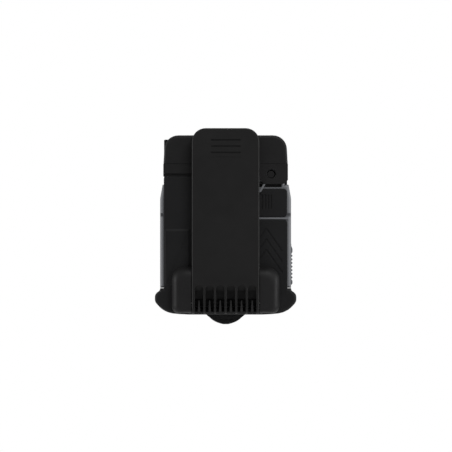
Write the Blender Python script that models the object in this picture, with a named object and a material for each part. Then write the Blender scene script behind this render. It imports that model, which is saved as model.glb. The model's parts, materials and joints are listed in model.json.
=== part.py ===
"""Portable gas detector with a spring belt clip, modelled as its separate pieces.

The detector stands upright: +Z is up, the display faces -Y and the belt clip faces +Y. Sizes are given in the
detector's own frame, where z = 0 is the underside of the rubber boot and y = 0 is the parting plane of the two
case halves. One empty carries every piece and puts the middle of the belt gap at the world's origin.
"""

import math

import bmesh
import bpy
from mathutils import Matrix, Vector

MM = 0.001

# Clearances
GAP = 0.3 * MM  # between pieces that touch
RUN = 0.06 * MM  # between a shaft and its hole
PAST = 1.0 * MM  # how far a cutter runs past the face it opens

# Case halves, without the rubber
CASE_HALF_WIDTH = 33.4 * MM  # at the grey side rails
FOOT_STEP = 1.8 * MM  # how much narrower the case is inside the boot
CASE_BACK = 11.7 * MM
CASE_FRONT = -12.6 * MM
CASE_WALL = 2.6 * MM
FOOT_CORNER = CASE_WALL + 1.9 * MM
CASE_BACK_WALL = 2.0 * MM
CASE_BOTTOM = 2.6 * MM
CASE_TOP = 76.8 * MM
SHOULDER_START = 59.3 * MM  # where the rails begin to lean in
SHOULDER_LEAN = 1.5 * MM
SHOULDER_END = 66.3 * MM
NECK_INSET = 3.2 * MM  # how far the neck stands in from the rails
NECK_HALF_WIDTH = CASE_HALF_WIDTH - NECK_INSET
NECK_CORNER = CASE_WALL + 0.4 * MM
SEAL_WIDTH = 0.9 * MM
SEAL_HEIGHT = 1.4 * MM
RAIL_NOTCH_Z = 50.9 * MM
RAIL_NOTCH_HEIGHT = 2.0 * MM
RAIL_NOTCH_DEPTH = 0.5 * MM
RAIL_SHOWN = 2.0 * MM  # width of rail that the rubber leaves bare
BACK_EDGE = 1.6 * MM  # rounding of the case's back rim
FRONT_EDGE = 1.2 * MM

# Rubber boot, pads and upper housing
SKIN = 1.2 * MM
SKIN_HALF_WIDTH = CASE_HALF_WIDTH - RAIL_SHOWN
BOOT_FRONT = -14.9 * MM
BUMPER_PROUD = 2.7 * MM  # how far the bumper stands out past the rails
BUMPER_HALF_WIDTH = CASE_HALF_WIDTH + BUMPER_PROUD
# The cheek's curve as (how far in from the widest point, height), and the ear's as (how far in, below BUMPER_TOP)
CHEEK_CURVE = ((17.5, 0.0), (8.9, 0.6), (5.7, 1.6), (3.85, 2.65), (2.1, 4.2), (0.75, 5.7), (0.14, 6.7), (0, 7.5))
EAR_CURVE = ((0.0, 4.3), (0.12, 3.55), (0.72, 2.6), (1.85, 1.6), (2.45, 1.05))
BUMPER_TOP = 13.4 * MM
BUMPER_ROUND = 1.5 * MM
SKIN_EDGE = 0.35 * MM  # rounding of the rubber's rims
BOOT_FLOOR = 2.3 * MM
BAND_HIGH = CASE_TOP - 4.8 * MM
LEFT_WING_TOP = BAND_HIGH - 1.5 * MM
RIGHT_WING_TOP = 48.1 * MM
WING_ROOT = 4.0 * MM  # how far the wings reach down into the bumper
WING_INNER = -15.9 * MM
PAD_BOTTOM = RIGHT_WING_TOP + 1.7 * MM
PAD_TOP = 64.0 * MM
PAD_INNER = -16.6 * MM
PAD_CHAMFER_WIDTH = 2.4 * MM
PAD_CHAMFER_HEIGHT = 4.2 * MM
BAR_TOP = (-19.7 * MM, SHOULDER_END - 0.1 * MM)  # outer corners of the slanting bar between pad and clip
BAR_FOOT = (-17.6 * MM, PAD_TOP - 1.6 * MM)
BAR_WIDTH = 1.0 * MM
BAND_WALL = 1.3 * MM
BAND_HALF_WIDTH = NECK_HALF_WIDTH + GAP + BAND_WALL
BAND_LOW = SHOULDER_END + GAP
BAND_INNER = -16.8 * MM
BAND_CHAMFER = 3.0 * MM
BAND_LIP = 0.5 * MM  # thickness of the band's lower edge beside the left wing
CAP_WALL = 1.5 * MM
SENSOR_COUNT = 4
SENSOR_RADIUS = 6.0 * MM
SENSOR_Z = CASE_TOP + 0.4 * MM + SENSOR_RADIUS
CAP_TOP = SENSOR_Z + SENSOR_RADIUS + 0.8 * MM + CAP_WALL
CAP_CORNER = 7.6 * MM
CAP_EDGE = 1.2 * MM
CAP_POST = 1.6 * MM  # radius of the posts that hold the sensor board

# Front frame
FRAME_INSET = 2.2 * MM
FRAME_HALF_WIDTH = CASE_HALF_WIDTH - FRAME_INSET
FRAME_TOP = CAP_TOP - 2.1 * MM
FRAME_CORNER = 8.5 * MM  # the square upper corner is on the other side
FRAME_THICKNESS = 2.0 * MM

# Belt clip
BELT_GAP = 5.3 * MM
ARM_HALF_WIDTH = 17.4 * MM
ARM_THICKNESS = 2.6 * MM
ARM_TOP = CAP_TOP + 3.6 * MM
ARM_CORNER = 6.5 * MM
ARM_BOTTOM = 0.4 * MM
ARM_SWING = 20.0  # degrees that the clip opens
LIP_LOW = ARM_TOP - 7.1 * MM
LIP_HIGH = ARM_TOP - 2.1 * MM
LIP_SLOPE = 2.0 * MM
GRIP_ROWS = (ARM_TOP - 6.1 * MM, ARM_TOP - 9.4 * MM, ARM_TOP - 12.5 * MM)
GRIP_HALF_LENGTH = 7.6 * MM
GRIP_WIDTH = 0.8 * MM
GRIP_DEPTH = 0.5 * MM
COMB_COUNT = 6
COMB_PITCH = 5.42 * MM
COMB_SLOT = 4.3 * MM
COMB_TOP = 14.6 * MM
COMB_RIB = 1.4 * MM
COMB_LEAN = 1.5 * MM  # how deep the wall behind the slots leans in
KNUCKLE = 3.6 * MM
PIN_RADIUS = 0.8 * MM
PIN_HALF_LENGTH = 23.0 * MM
BASE_HALF_WIDTH = 27.5 * MM
BASE_PLATEAU = 23.2 * MM
BASE_TOP = 24.3 * MM
BASE_PLATEAU_TOP = 18.0 * MM
BASE_CORNER = 6.5 * MM
BASE_BOTTOM = 0.6 * MM
BASE_FLANK = 20.6 * MM
BASE_PLUG = 16.0 * MM
SPRING_RADIUS = 1.9 * MM
SPRING_WIRE = 0.3 * MM
SPRING_TURNS = 3.25
SPRING_START = 19.6 * MM
SPRING_PITCH = 0.8 * MM
SPRING_LEG = 4.6 * MM

# Screws
HEAD_RADIUS = 1.9 * MM
HEAD_HEIGHT = 1.3 * MM
SHANK_RADIUS = 1.0 * MM
BOSS_RADIUS = 3.3 * MM
CASE_SCREW_X = NECK_HALF_WIDTH - 6.8 * MM
UPPER_SCREW_Z = CASE_TOP - 5.0 * MM
LOWER_SCREW_Z = CASE_BOTTOM + 5.4 * MM
CLIP_SCREW_X = 8.13 * MM
CLIP_SCREW_Z = 19.4 * MM

# Electronics
BOARD_THICKNESS = 1.6 * MM
BOARD_BACK = -6.0 * MM
BOARD_SPACE = 4.8 * MM  # between the board and the rails' inner face
BOARD_HALF_WIDTH = CASE_HALF_WIDTH - CASE_WALL - BOARD_SPACE
BOARD_BOTTOM = CASE_BOTTOM + 3.4 * MM
BOARD_TOP = CASE_TOP - 3.4 * MM
BOARD_SCREW_X = BOARD_HALF_WIDTH - 2.8 * MM
BOARD_POST = 2.2 * MM
PLUG_X = (6.0 * MM, 14.0 * MM)
PLUG_Z = (18.0 * MM, 22.0 * MM)
PLUG_HEIGHT = 3.5 * MM
SWITCH_OUT = BOARD_HALF_WIDTH + 0.6 * MM
SWITCH_SIZE = 4.0 * MM
SWITCH_HALF_HEIGHT = 2.1 * MM
SWITCH_DEPTH = 3.3 * MM
BOARD_SCREW_Z = 44.0 * MM
DISPLAY_HALF_WIDTH = 18.5 * MM
DISPLAY_LOW = 43.0 * MM
DISPLAY_HIGH = 67.0 * MM
DISPLAY_RIM = 2.0 * MM  # seat of the window around the view
DISPLAY_MARGIN = 1.0 * MM  # how far the module runs past the window
KEY_X = 10.5 * MM
KEY_Z = 33.5 * MM
KEY_HALF_WIDTH = 6.0 * MM
KEY_HALF_HEIGHT = 3.6 * MM
KEY_CORNER = 3.0 * MM
KEY_TRAVEL = 0.6 * MM
BUZZER_Z = 21.0 * MM
BUZZER_RADIUS = 6.0 * MM
BUZZER_PORT = 0.9 * MM
BUZZER_PORT_PITCH = 3.0 * MM
LIGHT_INNER = 7.0 * MM
LIGHT_OUTER = 19.0 * MM
LIGHT_HIGH = CASE_TOP - 2.4 * MM
LIGHT_LOW = LIGHT_HIGH - 4.0 * MM
LIGHT_RIM = 0.8 * MM  # seat of a lens around its light pipe
SENSOR_ROOM = 2 * (BAND_HALF_WIDTH - CAP_WALL)
SENSOR_SPACE = (SENSOR_ROOM - 2 * SENSOR_COUNT * SENSOR_RADIUS) / (SENSOR_COUNT + 1)  # between two sensors
SENSOR_PITCH = 2 * SENSOR_RADIUS + SENSOR_SPACE
SENSOR_LENGTH = 12.0 * MM
SENSOR_PORT = 3.6 * MM
SENSOR_BOARD_HALF_WIDTH = BAND_HALF_WIDTH - CAP_WALL - 1.8 * MM
SENSOR_BOARD_CORNER = 5.5 * MM
GASKET_HOLE = SENSOR_RADIUS - 1.6 * MM
COVER_HALF_WIDTH = FRAME_HALF_WIDTH - 3.2 * MM
COVER_LOW = CASE_TOP + 1.0 * MM
COVER_HIGH = FRAME_TOP - 1.6 * MM
COVER_SLOT_ROWS = (-2.2 * MM, 0.0, 2.2 * MM)
COVER_SLOT = 6.8 * MM  # length of one slot
COVER_SLOT_HEIGHT = 1.1 * MM
BATTERY_HALF_WIDTH = 17.5 * MM
BATTERY_THICKNESS = 8.0 * MM
BATTERY_LOW = 26.0 * MM
BATTERY_HIGH = 67.0 * MM
TRAY_WALL = 1.2 * MM
MOTOR_RADIUS = 3.2 * MM
MOTOR_X = 2.0 * MM
MOTOR_LENGTH = 12.0 * MM
MOTOR_Z = 11.0 * MM
MOTOR_SHAFT = 0.5 * MM
WEIGHT_RADIUS = 2.8 * MM
WEIGHT_LENGTH = 4.0 * MM

# Side key and charging port
SIDE_KEY_LOW = 15.1 * MM
SIDE_KEY_HIGH = 36.2 * MM
SIDE_KEY_PROUD = 0.8 * MM
SIDE_KEY_TRAVEL = 0.8 * MM
SIDE_KEY_BACK = -2.6 * MM
SIDE_KEY_FRONT = -8.6 * MM
SIDE_KEY_RIBS = 7
SIDE_KEY_PITCH = 1.84 * MM
SIDE_KEY_FIRST_RIB = 18.95 * MM
PORT_HALF_WIDTH = 5.5 * MM
PORT_FRONT = BOARD_BACK + GAP
PORT_DEPTH = 4.0 * MM
TONGUE_HALF_WIDTH = 9.8 * MM
# The pull tongue's curve, as half widths at depths below the sole, and where it ends
TONGUE_CURVE = ((2.8, 4.5), (4.36, 4.0), (5.44, 3.5), (6.31, 2.96), (7.64, 1.9), (8.83, 0.9), (9.57, 0.4))
TONGUE_BOTTOM = -5.0 * MM
TONGUE_FRONT = -6.6 * MM
TONGUE_BACK = -0.8 * MM

# Worked out from the sizes above
SKIN_IN = CASE_BACK + GAP
SKIN_OUT = SKIN_IN + SKIN
ARM_IN = SKIN_OUT + BELT_GAP
ARM_OUT = ARM_IN + ARM_THICKNESS
PIN_Y = ARM_OUT - KNUCKLE
PIN_Z = ARM_BOTTOM + KNUCKLE
BASE_FLOOR = SKIN_OUT + GAP
BASE_CHANNEL = ARM_IN - GAP
BASE_PLUG_LOW = BOOT_FLOOR + 1.0 * MM
FRONT_INNER = CASE_FRONT + CASE_BACK_WALL
BACK_INNER = CASE_BACK - CASE_BACK_WALL
FRAME_BACK = CASE_FRONT - GAP
FRAME_FRONT = FRAME_BACK - FRAME_THICKNESS
BOARD_FRONT = BOARD_BACK - BOARD_THICKNESS
BELT_SLOT = Vector((0.0, (SKIN_OUT + ARM_IN) / 2, 56.0 * MM))
SENSOR_FRONT = FRONT_INNER + 0.1 * MM
SENSOR_BACK = SENSOR_FRONT + SENSOR_LENGTH
BATTERY_BACK = BACK_INNER - GAP
BATTERY_FRONT = BATTERY_BACK - BATTERY_THICKNESS
MOTOR_Y = BACK_INNER - GAP - MOTOR_RADIUS
WEIGHT_X = MOTOR_X + MOTOR_LENGTH + 2 * GAP
PORT_HINGE_Y = TONGUE_FRONT - 0.2 * MM
PORT_HINGE_Z = -2 * GAP

ROUND = 20  # sides of a large cylinder
SMALL_ROUND = 12  # sides of a small cylinder
ARC_STEPS = 3  # straight pieces in a rounded corner

FINISHES = {
    "case_grey": ((0.155, 0.16, 0.17), 0.5, 0.0),
    "black_rubber": ((0.013, 0.013, 0.014), 0.7, 0.0),
    "black_plastic": ((0.014, 0.014, 0.015), 0.5, 0.0),
    "clip_plastic": ((0.014, 0.014, 0.014), 0.45, 0.0),
    "steel": ((0.55, 0.55, 0.54), 0.3, 1.0),
    "black_steel": ((0.03, 0.03, 0.03), 0.4, 1.0),
    "board_green": ((0.02, 0.1, 0.045), 0.45, 0.0),
    "window_glass": ((0.35, 0.4, 0.4), 0.1, 0.0),
    "lcd_grey": ((0.3, 0.34, 0.28), 0.3, 0.0),
    "key_grey": ((0.22, 0.23, 0.24), 0.6, 0.0),
    "seal_silicone": ((0.3, 0.3, 0.3), 0.7, 0.0),
    "lens_red": ((0.6, 0.02, 0.015), 0.15, 0.0),
    "filter_white": ((0.75, 0.75, 0.73), 0.8, 0.0),
    "sensor_shell": ((0.7, 0.7, 0.68), 0.5, 0.0),
    "battery_wrap": ((0.05, 0.16, 0.3), 0.5, 0.0),
    "component_black": ((0.02, 0.02, 0.02), 0.5, 0.0),
}


# ---- Outlines ---------------------------------------------------------------------------------------------


def rounded(corners, steps=ARC_STEPS):
    """A closed outline through (u, v, radius) corners, each rounded with an arc."""
    outline = []
    count = len(corners)
    for index, (u, v, radius) in enumerate(corners):
        here = Vector((u, v))
        if radius <= 0:
            outline.append(here)
            continue
        before = (Vector(corners[index - 1][:2]) - here).normalized()
        after = (Vector(corners[(index + 1) % count][:2]) - here).normalized()
        half_angle = before.angle(after) / 2
        reach = radius / math.tan(half_angle)
        middle = here + (before + after).normalized() * radius / math.sin(half_angle)
        start = here + before * reach - middle
        turn = (here + after * reach - middle).angle_signed(start)
        for step in range(steps + 1):
            outline.append(middle + Matrix.Rotation(turn * step / steps, 2) @ start)
    return outline


def rectangle(low_u, low_v, high_u, high_v, radius=0.0):
    radius = min(radius, 0.45 * (high_u - low_u), 0.45 * (high_v - low_v))
    corners = [(low_u, low_v), (high_u, low_v), (high_u, high_v), (low_u, high_v)]
    return rounded([(u, v, radius) for u, v in corners])


def circle(radius, sides=ROUND, centre=(0.0, 0.0)):
    angles = [2 * math.pi * side / sides for side in range(sides)]
    return [Vector((centre[0] + radius * math.cos(a), centre[1] + radius * math.sin(a))) for a in angles]


def mirrored(half):
    """An outline with two equal sides, from the (u, v, radius) corners of its +X side, bottom to top."""
    return rounded(half + [(-u, v, radius) for u, v, radius in reversed(half)])


def shrunk(outline, distance):
    """The outline moved inwards by a distance, with as many points."""
    moved = []
    for index, here in enumerate(outline):
        before = (here - outline[index - 1]).normalized()
        after = (outline[(index + 1) % len(outline)] - here).normalized()
        inward = Vector((-before.y - after.y, before.x + after.x)).normalized()
        cosine = inward.dot(Vector((-after.y, after.x)))
        moved.append(here + inward * distance / cosine)
    return moved


def case_outline(inset=0.0):
    """The case seen from behind: a foot that the boot holds, the rails, the shoulders and the neck."""
    foot = CASE_HALF_WIDTH - FOOT_STEP
    half = [
        (foot, CASE_BOTTOM, FOOT_CORNER),
        (foot, BUMPER_TOP + GAP, 0.0),
        (CASE_HALF_WIDTH, BUMPER_TOP + GAP, 0.0),
        (CASE_HALF_WIDTH, SHOULDER_START, 0.0),
        (CASE_HALF_WIDTH - SHOULDER_LEAN, SHOULDER_END, 0.0),
        (NECK_HALF_WIDTH, SHOULDER_END, 0.0),
        (NECK_HALF_WIDTH, CASE_TOP, NECK_CORNER),
    ]
    return shrunk(mirrored(half), inset)


def bumper_outline():
    """The rubber bumper seen from behind: a sole that curves into round cheeks, and two ears above them."""
    half = [(BUMPER_HALF_WIDTH - inset * MM, height * MM, 0.0) for inset, height in CHEEK_CURVE]
    half += [(BUMPER_HALF_WIDTH - inset * MM, BUMPER_TOP - drop * MM, 0.0) for inset, drop in EAR_CURVE]
    return mirrored(half + [(CASE_HALF_WIDTH, BUMPER_TOP, 0.0)])


def cap_outline(inset=0.0):
    half = [(BAND_HALF_WIDTH, CASE_TOP + GAP, 0.0), (BAND_HALF_WIDTH, CAP_TOP, CAP_CORNER)]
    return shrunk(mirrored(half), inset)


# ---- Solids -----------------------------------------------------------------------------------------------


def point_on(axis, u, v, depth):
    """The point at (u, v) of an outline square to an axis: (y, z) for X, (x, z) for Y and (x, y) for Z."""
    if axis == "X":
        return Vector((depth, u, v))
    if axis == "Y":
        return Vector((u, depth, v))
    return Vector((u, v, depth))


def mesh_of(shape, name):
    bmesh.ops.recalc_face_normals(shape, faces=shape.faces)
    mesh = bpy.data.meshes.new(name)
    shape.to_mesh(mesh)
    shape.free()
    solid = bpy.data.objects.new(name, mesh)
    bpy.context.collection.objects.link(solid)
    return solid


def loft(outlines, depths, axis="Y", closed_tube=False):
    """A solid through outlines with equal point counts, one at each depth along the axis."""
    shape = bmesh.new()
    rings = []
    for outline, depth in zip(outlines, depths):
        rings.append([shape.verts.new(point_on(axis, point[0], point[1], depth)) for point in outline])
    count = len(rings[0])
    pairs = list(zip(rings, rings[1:] + rings[:1])) if closed_tube else list(zip(rings, rings[1:]))
    for lower, upper in pairs:
        for index in range(count):
            after = (index + 1) % count
            shape.faces.new((lower[index], lower[after], upper[after], upper[index]))
    if not closed_tube:
        shape.faces.new(rings[0])
        shape.faces.new(rings[-1])
    return mesh_of(shape, "solid")


def prism(outline, start, end, axis="Y"):
    return loft([outline, outline], [start, end], axis)


def ring(outer, inner, start, end, axis="Y"):
    """A closed frame between two outlines with equal point counts."""
    return loft([outer, outer, inner, inner], [start, end, end, start], axis, closed_tube=True)


def box(low, high):
    return prism(rectangle(low[0], low[2], high[0], high[2]), low[1], high[1])


def rod(radius, start, end, axis, centre, sides=SMALL_ROUND):
    return prism(circle(radius, sides, centre), start, end, axis)


def slab(outline, start, end, start_edge=0.0, end_edge=0.0):
    """A prism along Y whose rims are rounded by the given radii."""
    steps = ((1.0, 0.0), (0.3, 0.3), (0.0, 1.0))
    insets, depths = [], []
    for inset, depth in steps if start_edge else ((0.0, 0.0),):
        insets.append(inset * start_edge)
        depths.append(start + depth * start_edge)
    for inset, depth in reversed(steps) if end_edge else ((0.0, 0.0),):
        insets.append(inset * end_edge)
        depths.append(end - depth * end_edge)
    return loft([shrunk(outline, inset) for inset in insets], depths)


def combine(target, others, operation):
    """Adds or cuts away other solids, which are used up."""
    for other in others:
        modifier = target.modifiers.new("combine", "BOOLEAN")
        modifier.object = other
        modifier.operation = operation
        modifier.solver = "EXACT"
        graph = bpy.context.evaluated_depsgraph_get()
        mesh = bpy.data.meshes.new_from_object(target.evaluated_get(graph))
        target.modifiers.clear()
        target.data = mesh
        bpy.data.objects.remove(other)
    return target


def cut(target, *others):
    return combine(target, others, "DIFFERENCE")


def join(target, *others):
    return combine(target, others, "UNION")


def finish_of(name):
    """The material with this name, made the first time it is asked for."""
    made = bpy.data.materials.get(name)
    if made:
        return made
    colour, roughness, metallic = FINISHES[name]
    made = bpy.data.materials.new(name)
    made.use_nodes = True
    shader = made.node_tree.nodes["Principled BSDF"]
    shader.inputs["Base Color"].default_value = (*colour, 1.0)
    shader.inputs["Roughness"].default_value = roughness
    shader.inputs["Metallic"].default_value = metallic
    return made


def piece(name, solid, finish, pivot=(0.0, 0.0, 0.0)):
    """Names a solid, dresses it and hangs it on the detector's empty, with its origin at the pivot."""
    solid.name = name
    solid.data.name = name
    solid.data.materials.clear()
    solid.data.materials.append(finish_of(finish))
    solid.data.transform(Matrix.Translation(-Vector(pivot)))
    solid.location = pivot
    solid.parent = bpy.data.objects["detector"]
    solid.data.shade_smooth()
    solid.data.set_sharp_from_angle(angle=math.radians(35))
    return solid


# ---- Case -------------------------------------------------------------------------------------------------


def case_screw_places():
    """Where the four case screws stand, as (x, z)."""
    return [(side * CASE_SCREW_X, z) for z in (UPPER_SCREW_Z, LOWER_SCREW_Z) for side in (-1, 1)]


def seal_outlines(spare=0.0):
    middle = CASE_WALL / 2
    return (
        case_outline(middle - SEAL_WIDTH / 2 - spare),
        case_outline(middle + SEAL_WIDTH / 2 + spare),
    )


def seal_groove(start, end):
    outer, inner = seal_outlines(GAP)
    return ring(outer, inner, start, end)


def clip_screw_places():
    return [(side * CLIP_SCREW_X, CLIP_SCREW_Z) for side in (-1, 1)]


def rail_notches(start, end):
    """Cutters for the short step across both rails."""
    low = RAIL_NOTCH_Z - RAIL_NOTCH_HEIGHT / 2
    high = RAIL_NOTCH_Z + RAIL_NOTCH_HEIGHT / 2
    deep = CASE_HALF_WIDTH - RAIL_NOTCH_DEPTH
    wide = CASE_HALF_WIDTH + PAST
    return [
        prism(rectangle(deep, low, wide, high), start, end),
        prism(rectangle(-wide, low, -deep, high), start, end),
    ]


def build_rear_case():
    shell = slab(case_outline(), GAP / 2, CASE_BACK, end_edge=BACK_EDGE)
    cut(shell, prism(case_outline(CASE_WALL), -PAST, BACK_INNER))
    for x, z in case_screw_places():
        join(shell, rod(BOSS_RADIUS, GAP / 2, BACK_INNER + PAST / 2, "Y", (x, z)))
    for x, z in clip_screw_places():
        join(shell, rod(BOSS_RADIUS, BACK_INNER - 2.8 * MM, BACK_INNER + PAST / 2, "Y", (x, z)))
    head_seat = CASE_BACK - HEAD_HEIGHT - 2 * GAP
    for x, z in case_screw_places():
        cut(shell, rod(SHANK_RADIUS + GAP, -PAST, CASE_BACK, "Y", (x, z)))
        cut(shell, rod(HEAD_RADIUS + GAP, head_seat, CASE_BACK + PAST, "Y", (x, z)))
    for x, z in clip_screw_places():
        cut(shell, rod(SHANK_RADIUS + GAP, BACK_INNER - 1.8 * MM, CASE_BACK + PAST, "Y", (x, z)))
    cut(shell, seal_groove(-PAST, SEAL_HEIGHT / 2 + GAP))
    wide = Vector((BAR_WIDTH, 0.0))
    top, foot = Vector(BAR_TOP), Vector(BAR_FOOT)
    join(shell, prism([top, top + wide, foot + wide, foot], CASE_BACK - PAST, SKIN_OUT - GAP))
    cut(shell, *rail_notches(GAP, CASE_BACK + PAST))
    piece("rear_case", shell, "case_grey")


def build_front_case():
    shell = slab(case_outline(), CASE_FRONT, -GAP / 2, start_edge=FRONT_EDGE)
    cut(shell, prism(case_outline(CASE_WALL), FRONT_INNER, PAST))
    for x, z in case_screw_places():
        join(shell, rod(BOSS_RADIUS, FRONT_INNER - PAST / 2, -GAP / 2, "Y", (x, z)))
        cut(shell, rod(SHANK_RADIUS + GAP, FRONT_INNER + PAST, PAST, "Y", (x, z)))
    for side in (-1, 1):
        centre = (side * BOARD_SCREW_X, BOARD_SCREW_Z)
        join(shell, rod(BOARD_POST, FRONT_INNER - PAST / 2, BOARD_FRONT - GAP, "Y", centre))
        cut(shell, rod(SHANK_RADIUS * 0.8 + GAP, FRONT_INNER + GAP, BOARD_FRONT, "Y", centre))
        for opening in (key_outline(side, GAP), light_outline(side, -LIGHT_RIM)):
            cut(shell, prism(opening, CASE_FRONT - PAST, FRONT_INNER + PAST))
    cut(shell, prism(display_outline(-DISPLAY_RIM), CASE_FRONT - PAST, FRONT_INNER + PAST))
    cut(shell, rod(1.4 * MM, CASE_FRONT - PAST, FRONT_INNER + PAST, "Y", (0.0, BUZZER_Z)))
    cut(shell, seal_groove(-SEAL_HEIGHT / 2 - GAP, PAST))
    side_low = (-CASE_HALF_WIDTH - PAST, SIDE_KEY_FRONT - GAP, SIDE_KEY_LOW - GAP)
    side_high = (-CASE_HALF_WIDTH + CASE_WALL + FOOT_STEP + PAST, SIDE_KEY_BACK + GAP, SIDE_KEY_HIGH + GAP)
    cut(shell, box(side_low, side_high))
    cut(shell, port_opening(CASE_BOTTOM - PAST, CASE_BOTTOM + CASE_WALL + PAST, GAP))
    cut(shell, *rail_notches(CASE_FRONT - PAST, -GAP))
    piece("front_case", shell, "case_grey")


def build_case_seal():
    outer, inner = seal_outlines()
    piece("case_seal", ring(outer, inner, -SEAL_HEIGHT / 2, SEAL_HEIGHT / 2), "seal_silicone")


def screw(name, head_top, length, x, z, scale=1.0, finish="black_steel"):
    """A cheese-head screw along -Y, its head's face at head_top, with a cross recess."""
    head = HEAD_RADIUS * scale
    body = rod(head, head_top - HEAD_HEIGHT, head_top, "Y", (x, z), ROUND)
    join(body, rod(SHANK_RADIUS * scale, head_top - HEAD_HEIGHT - length, head_top - PAST / 2, "Y", (x, z)))
    arm, width = head * 0.6, 0.22 * MM
    for across, along in ((arm, width), (width, arm)):
        slot = rectangle(x - across, z - along, x + across, z + along)
        cut(body, prism(slot, head_top - HEAD_HEIGHT * 0.5, head_top + PAST))
    piece(name, body, finish, (x, head_top, z))


def build_screws():
    names = ("upper_right", "upper_left", "lower_right", "lower_left")
    for name, (x, z) in zip(names, case_screw_places()):
        screw(f"case_screw_{name}", CASE_BACK - GAP, 15.5 * MM, x, z)
    for name, (x, z) in zip(("right", "left"), clip_screw_places()):
        screw(f"clip_screw_{name}", BASE_CHANNEL - GAP, 7.0 * MM, x, z)
    for name, side in (("right", -1), ("left", 1)):
        head = BOARD_BACK + GAP + HEAD_HEIGHT
        screw(f"board_screw_{name}", head, 3.6 * MM, side * BOARD_SCREW_X, BOARD_SCREW_Z, 0.8, "steel")


# ---- Rubber and upper housing -----------------------------------------------------------------------------


def build_rear_boot():
    bumper = slab(bumper_outline(), BOOT_FRONT, SKIN_OUT, BUMPER_ROUND, BUMPER_ROUND)
    wings = rounded(
        [
            (-SKIN_HALF_WIDTH, BUMPER_TOP - WING_ROOT, 0.0),
            (SKIN_HALF_WIDTH, BUMPER_TOP - WING_ROOT, 0.0),
            (SKIN_HALF_WIDTH, LEFT_WING_TOP, 1.2 * MM),
            (WING_INNER, LEFT_WING_TOP, 1.2 * MM),
            (WING_INNER, RIGHT_WING_TOP, 0.6 * MM),
            (-SKIN_HALF_WIDTH, RIGHT_WING_TOP, 2.0 * MM),
        ]
    )
    skin = slab(wings, SKIN_IN, SKIN_OUT, end_edge=SKIN_EDGE)
    join(bumper, skin)
    foot = CASE_HALF_WIDTH - FOOT_STEP + GAP
    hollow = rectangle(-foot, BOOT_FLOOR, foot, CAP_TOP, FOOT_CORNER)
    cut(bumper, prism(hollow, FRAME_BACK, SKIN_IN))
    cut(bumper, base_plug(GAP))
    cut(bumper, port_opening(-PAST, BOOT_FLOOR + PAST, GAP))
    piece("rear_boot", bumper, "black_rubber")


def build_small_pad():
    outline = rounded(
        [
            (PAD_INNER, PAD_BOTTOM, 0.8 * MM),
            (PAD_INNER, PAD_TOP - PAD_CHAMFER_HEIGHT, 0.8 * MM),
            (PAD_INNER - PAD_CHAMFER_WIDTH, PAD_TOP, 0.8 * MM),
            (-SKIN_HALF_WIDTH, PAD_TOP, 2.0 * MM),
            (-SKIN_HALF_WIDTH, PAD_BOTTOM, 2.0 * MM),
        ]
    )
    piece("small_pad", slab(outline, SKIN_IN, SKIN_OUT, end_edge=SKIN_EDGE), "black_rubber")


def build_upper_band():
    outline = rounded(
        [
            (-BAND_HALF_WIDTH, BAND_LOW, 3.0 * MM),
            (BAND_INNER - BAND_CHAMFER, BAND_LOW, 0.5 * MM),
            (BAND_INNER, BAND_LOW + BAND_CHAMFER, 0.5 * MM),
            (BAND_INNER, BAND_HIGH, 0.5 * MM),
            (BAND_HALF_WIDTH, BAND_HIGH, 0.0),
            (BAND_HALF_WIDTH, CASE_TOP, 0.0),
            (-BAND_HALF_WIDTH, CASE_TOP, 0.0),
        ]
    )
    band = prism(outline, SKIN_IN, SKIN_OUT)
    inside = NECK_HALF_WIDTH + GAP
    front = FRAME_BACK + 2 * GAP
    lip_low = LEFT_WING_TOP + GAP
    join(
        band,
        prism(rectangle(-BAND_HALF_WIDTH, BAND_LOW, -inside, CASE_TOP), front, SKIN_OUT),
        prism(rectangle(inside, BAND_LOW, BAND_HALF_WIDTH, CASE_TOP), front, CASE_BACK),
        prism(rectangle(inside, lip_low, BAND_HALF_WIDTH, CASE_TOP), CASE_BACK - PAST, SKIN_IN + BAND_LIP),
        prism(rectangle(WING_INNER, lip_low, BAND_HALF_WIDTH, BAND_HIGH + PAST), SKIN_IN, SKIN_IN + BAND_LIP),
    )
    centre = (-CASE_SCREW_X, UPPER_SCREW_Z)
    recess = loft(
        [circle(HEAD_RADIUS + GAP, ROUND, centre), circle(HEAD_RADIUS + 2 * GAP, ROUND, centre)],
        [SKIN_IN - PAST / 4, SKIN_OUT + PAST / 4],
    )
    cut(band, recess)
    piece("upper_band", band, "black_plastic")


def build_sensor_cap():
    cap = slab(cap_outline(), FRAME_BACK + 2 * GAP, SKIN_OUT, end_edge=CAP_EDGE)
    hollow = rounded(
        [
            (-BAND_HALF_WIDTH + CAP_WALL, CASE_TOP - PAST, 0.0),
            (BAND_HALF_WIDTH - CAP_WALL, CASE_TOP - PAST, 0.0),
            (BAND_HALF_WIDTH - CAP_WALL, CAP_TOP - CAP_WALL, CAP_CORNER - CAP_WALL),
            (-BAND_HALF_WIDTH + CAP_WALL, CAP_TOP - CAP_WALL, CAP_CORNER - CAP_WALL),
        ]
    )
    cut(cap, prism(hollow, CASE_FRONT - PAST, SKIN_OUT - CAP_WALL))
    board_back = SENSOR_BACK + GAP + BOARD_THICKNESS
    for side in (-1, 1):
        post = rod(CAP_POST, board_back + GAP, SKIN_OUT - CAP_WALL / 2, "Y", (side * SENSOR_PITCH, SENSOR_Z))
        join(cap, post)
    piece("sensor_cap", cap, "black_plastic")


# ---- Front ------------------------------------------------------------------------------------------------


def light_outline(side, spare=0.0):
    """One alarm light's lens seen from the front, grown by spare."""
    low, high = sorted((side * LIGHT_INNER, side * LIGHT_OUTER))
    return rectangle(low - spare, LIGHT_LOW - spare, high + spare, LIGHT_HIGH + spare, 1.0 * MM)


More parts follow.
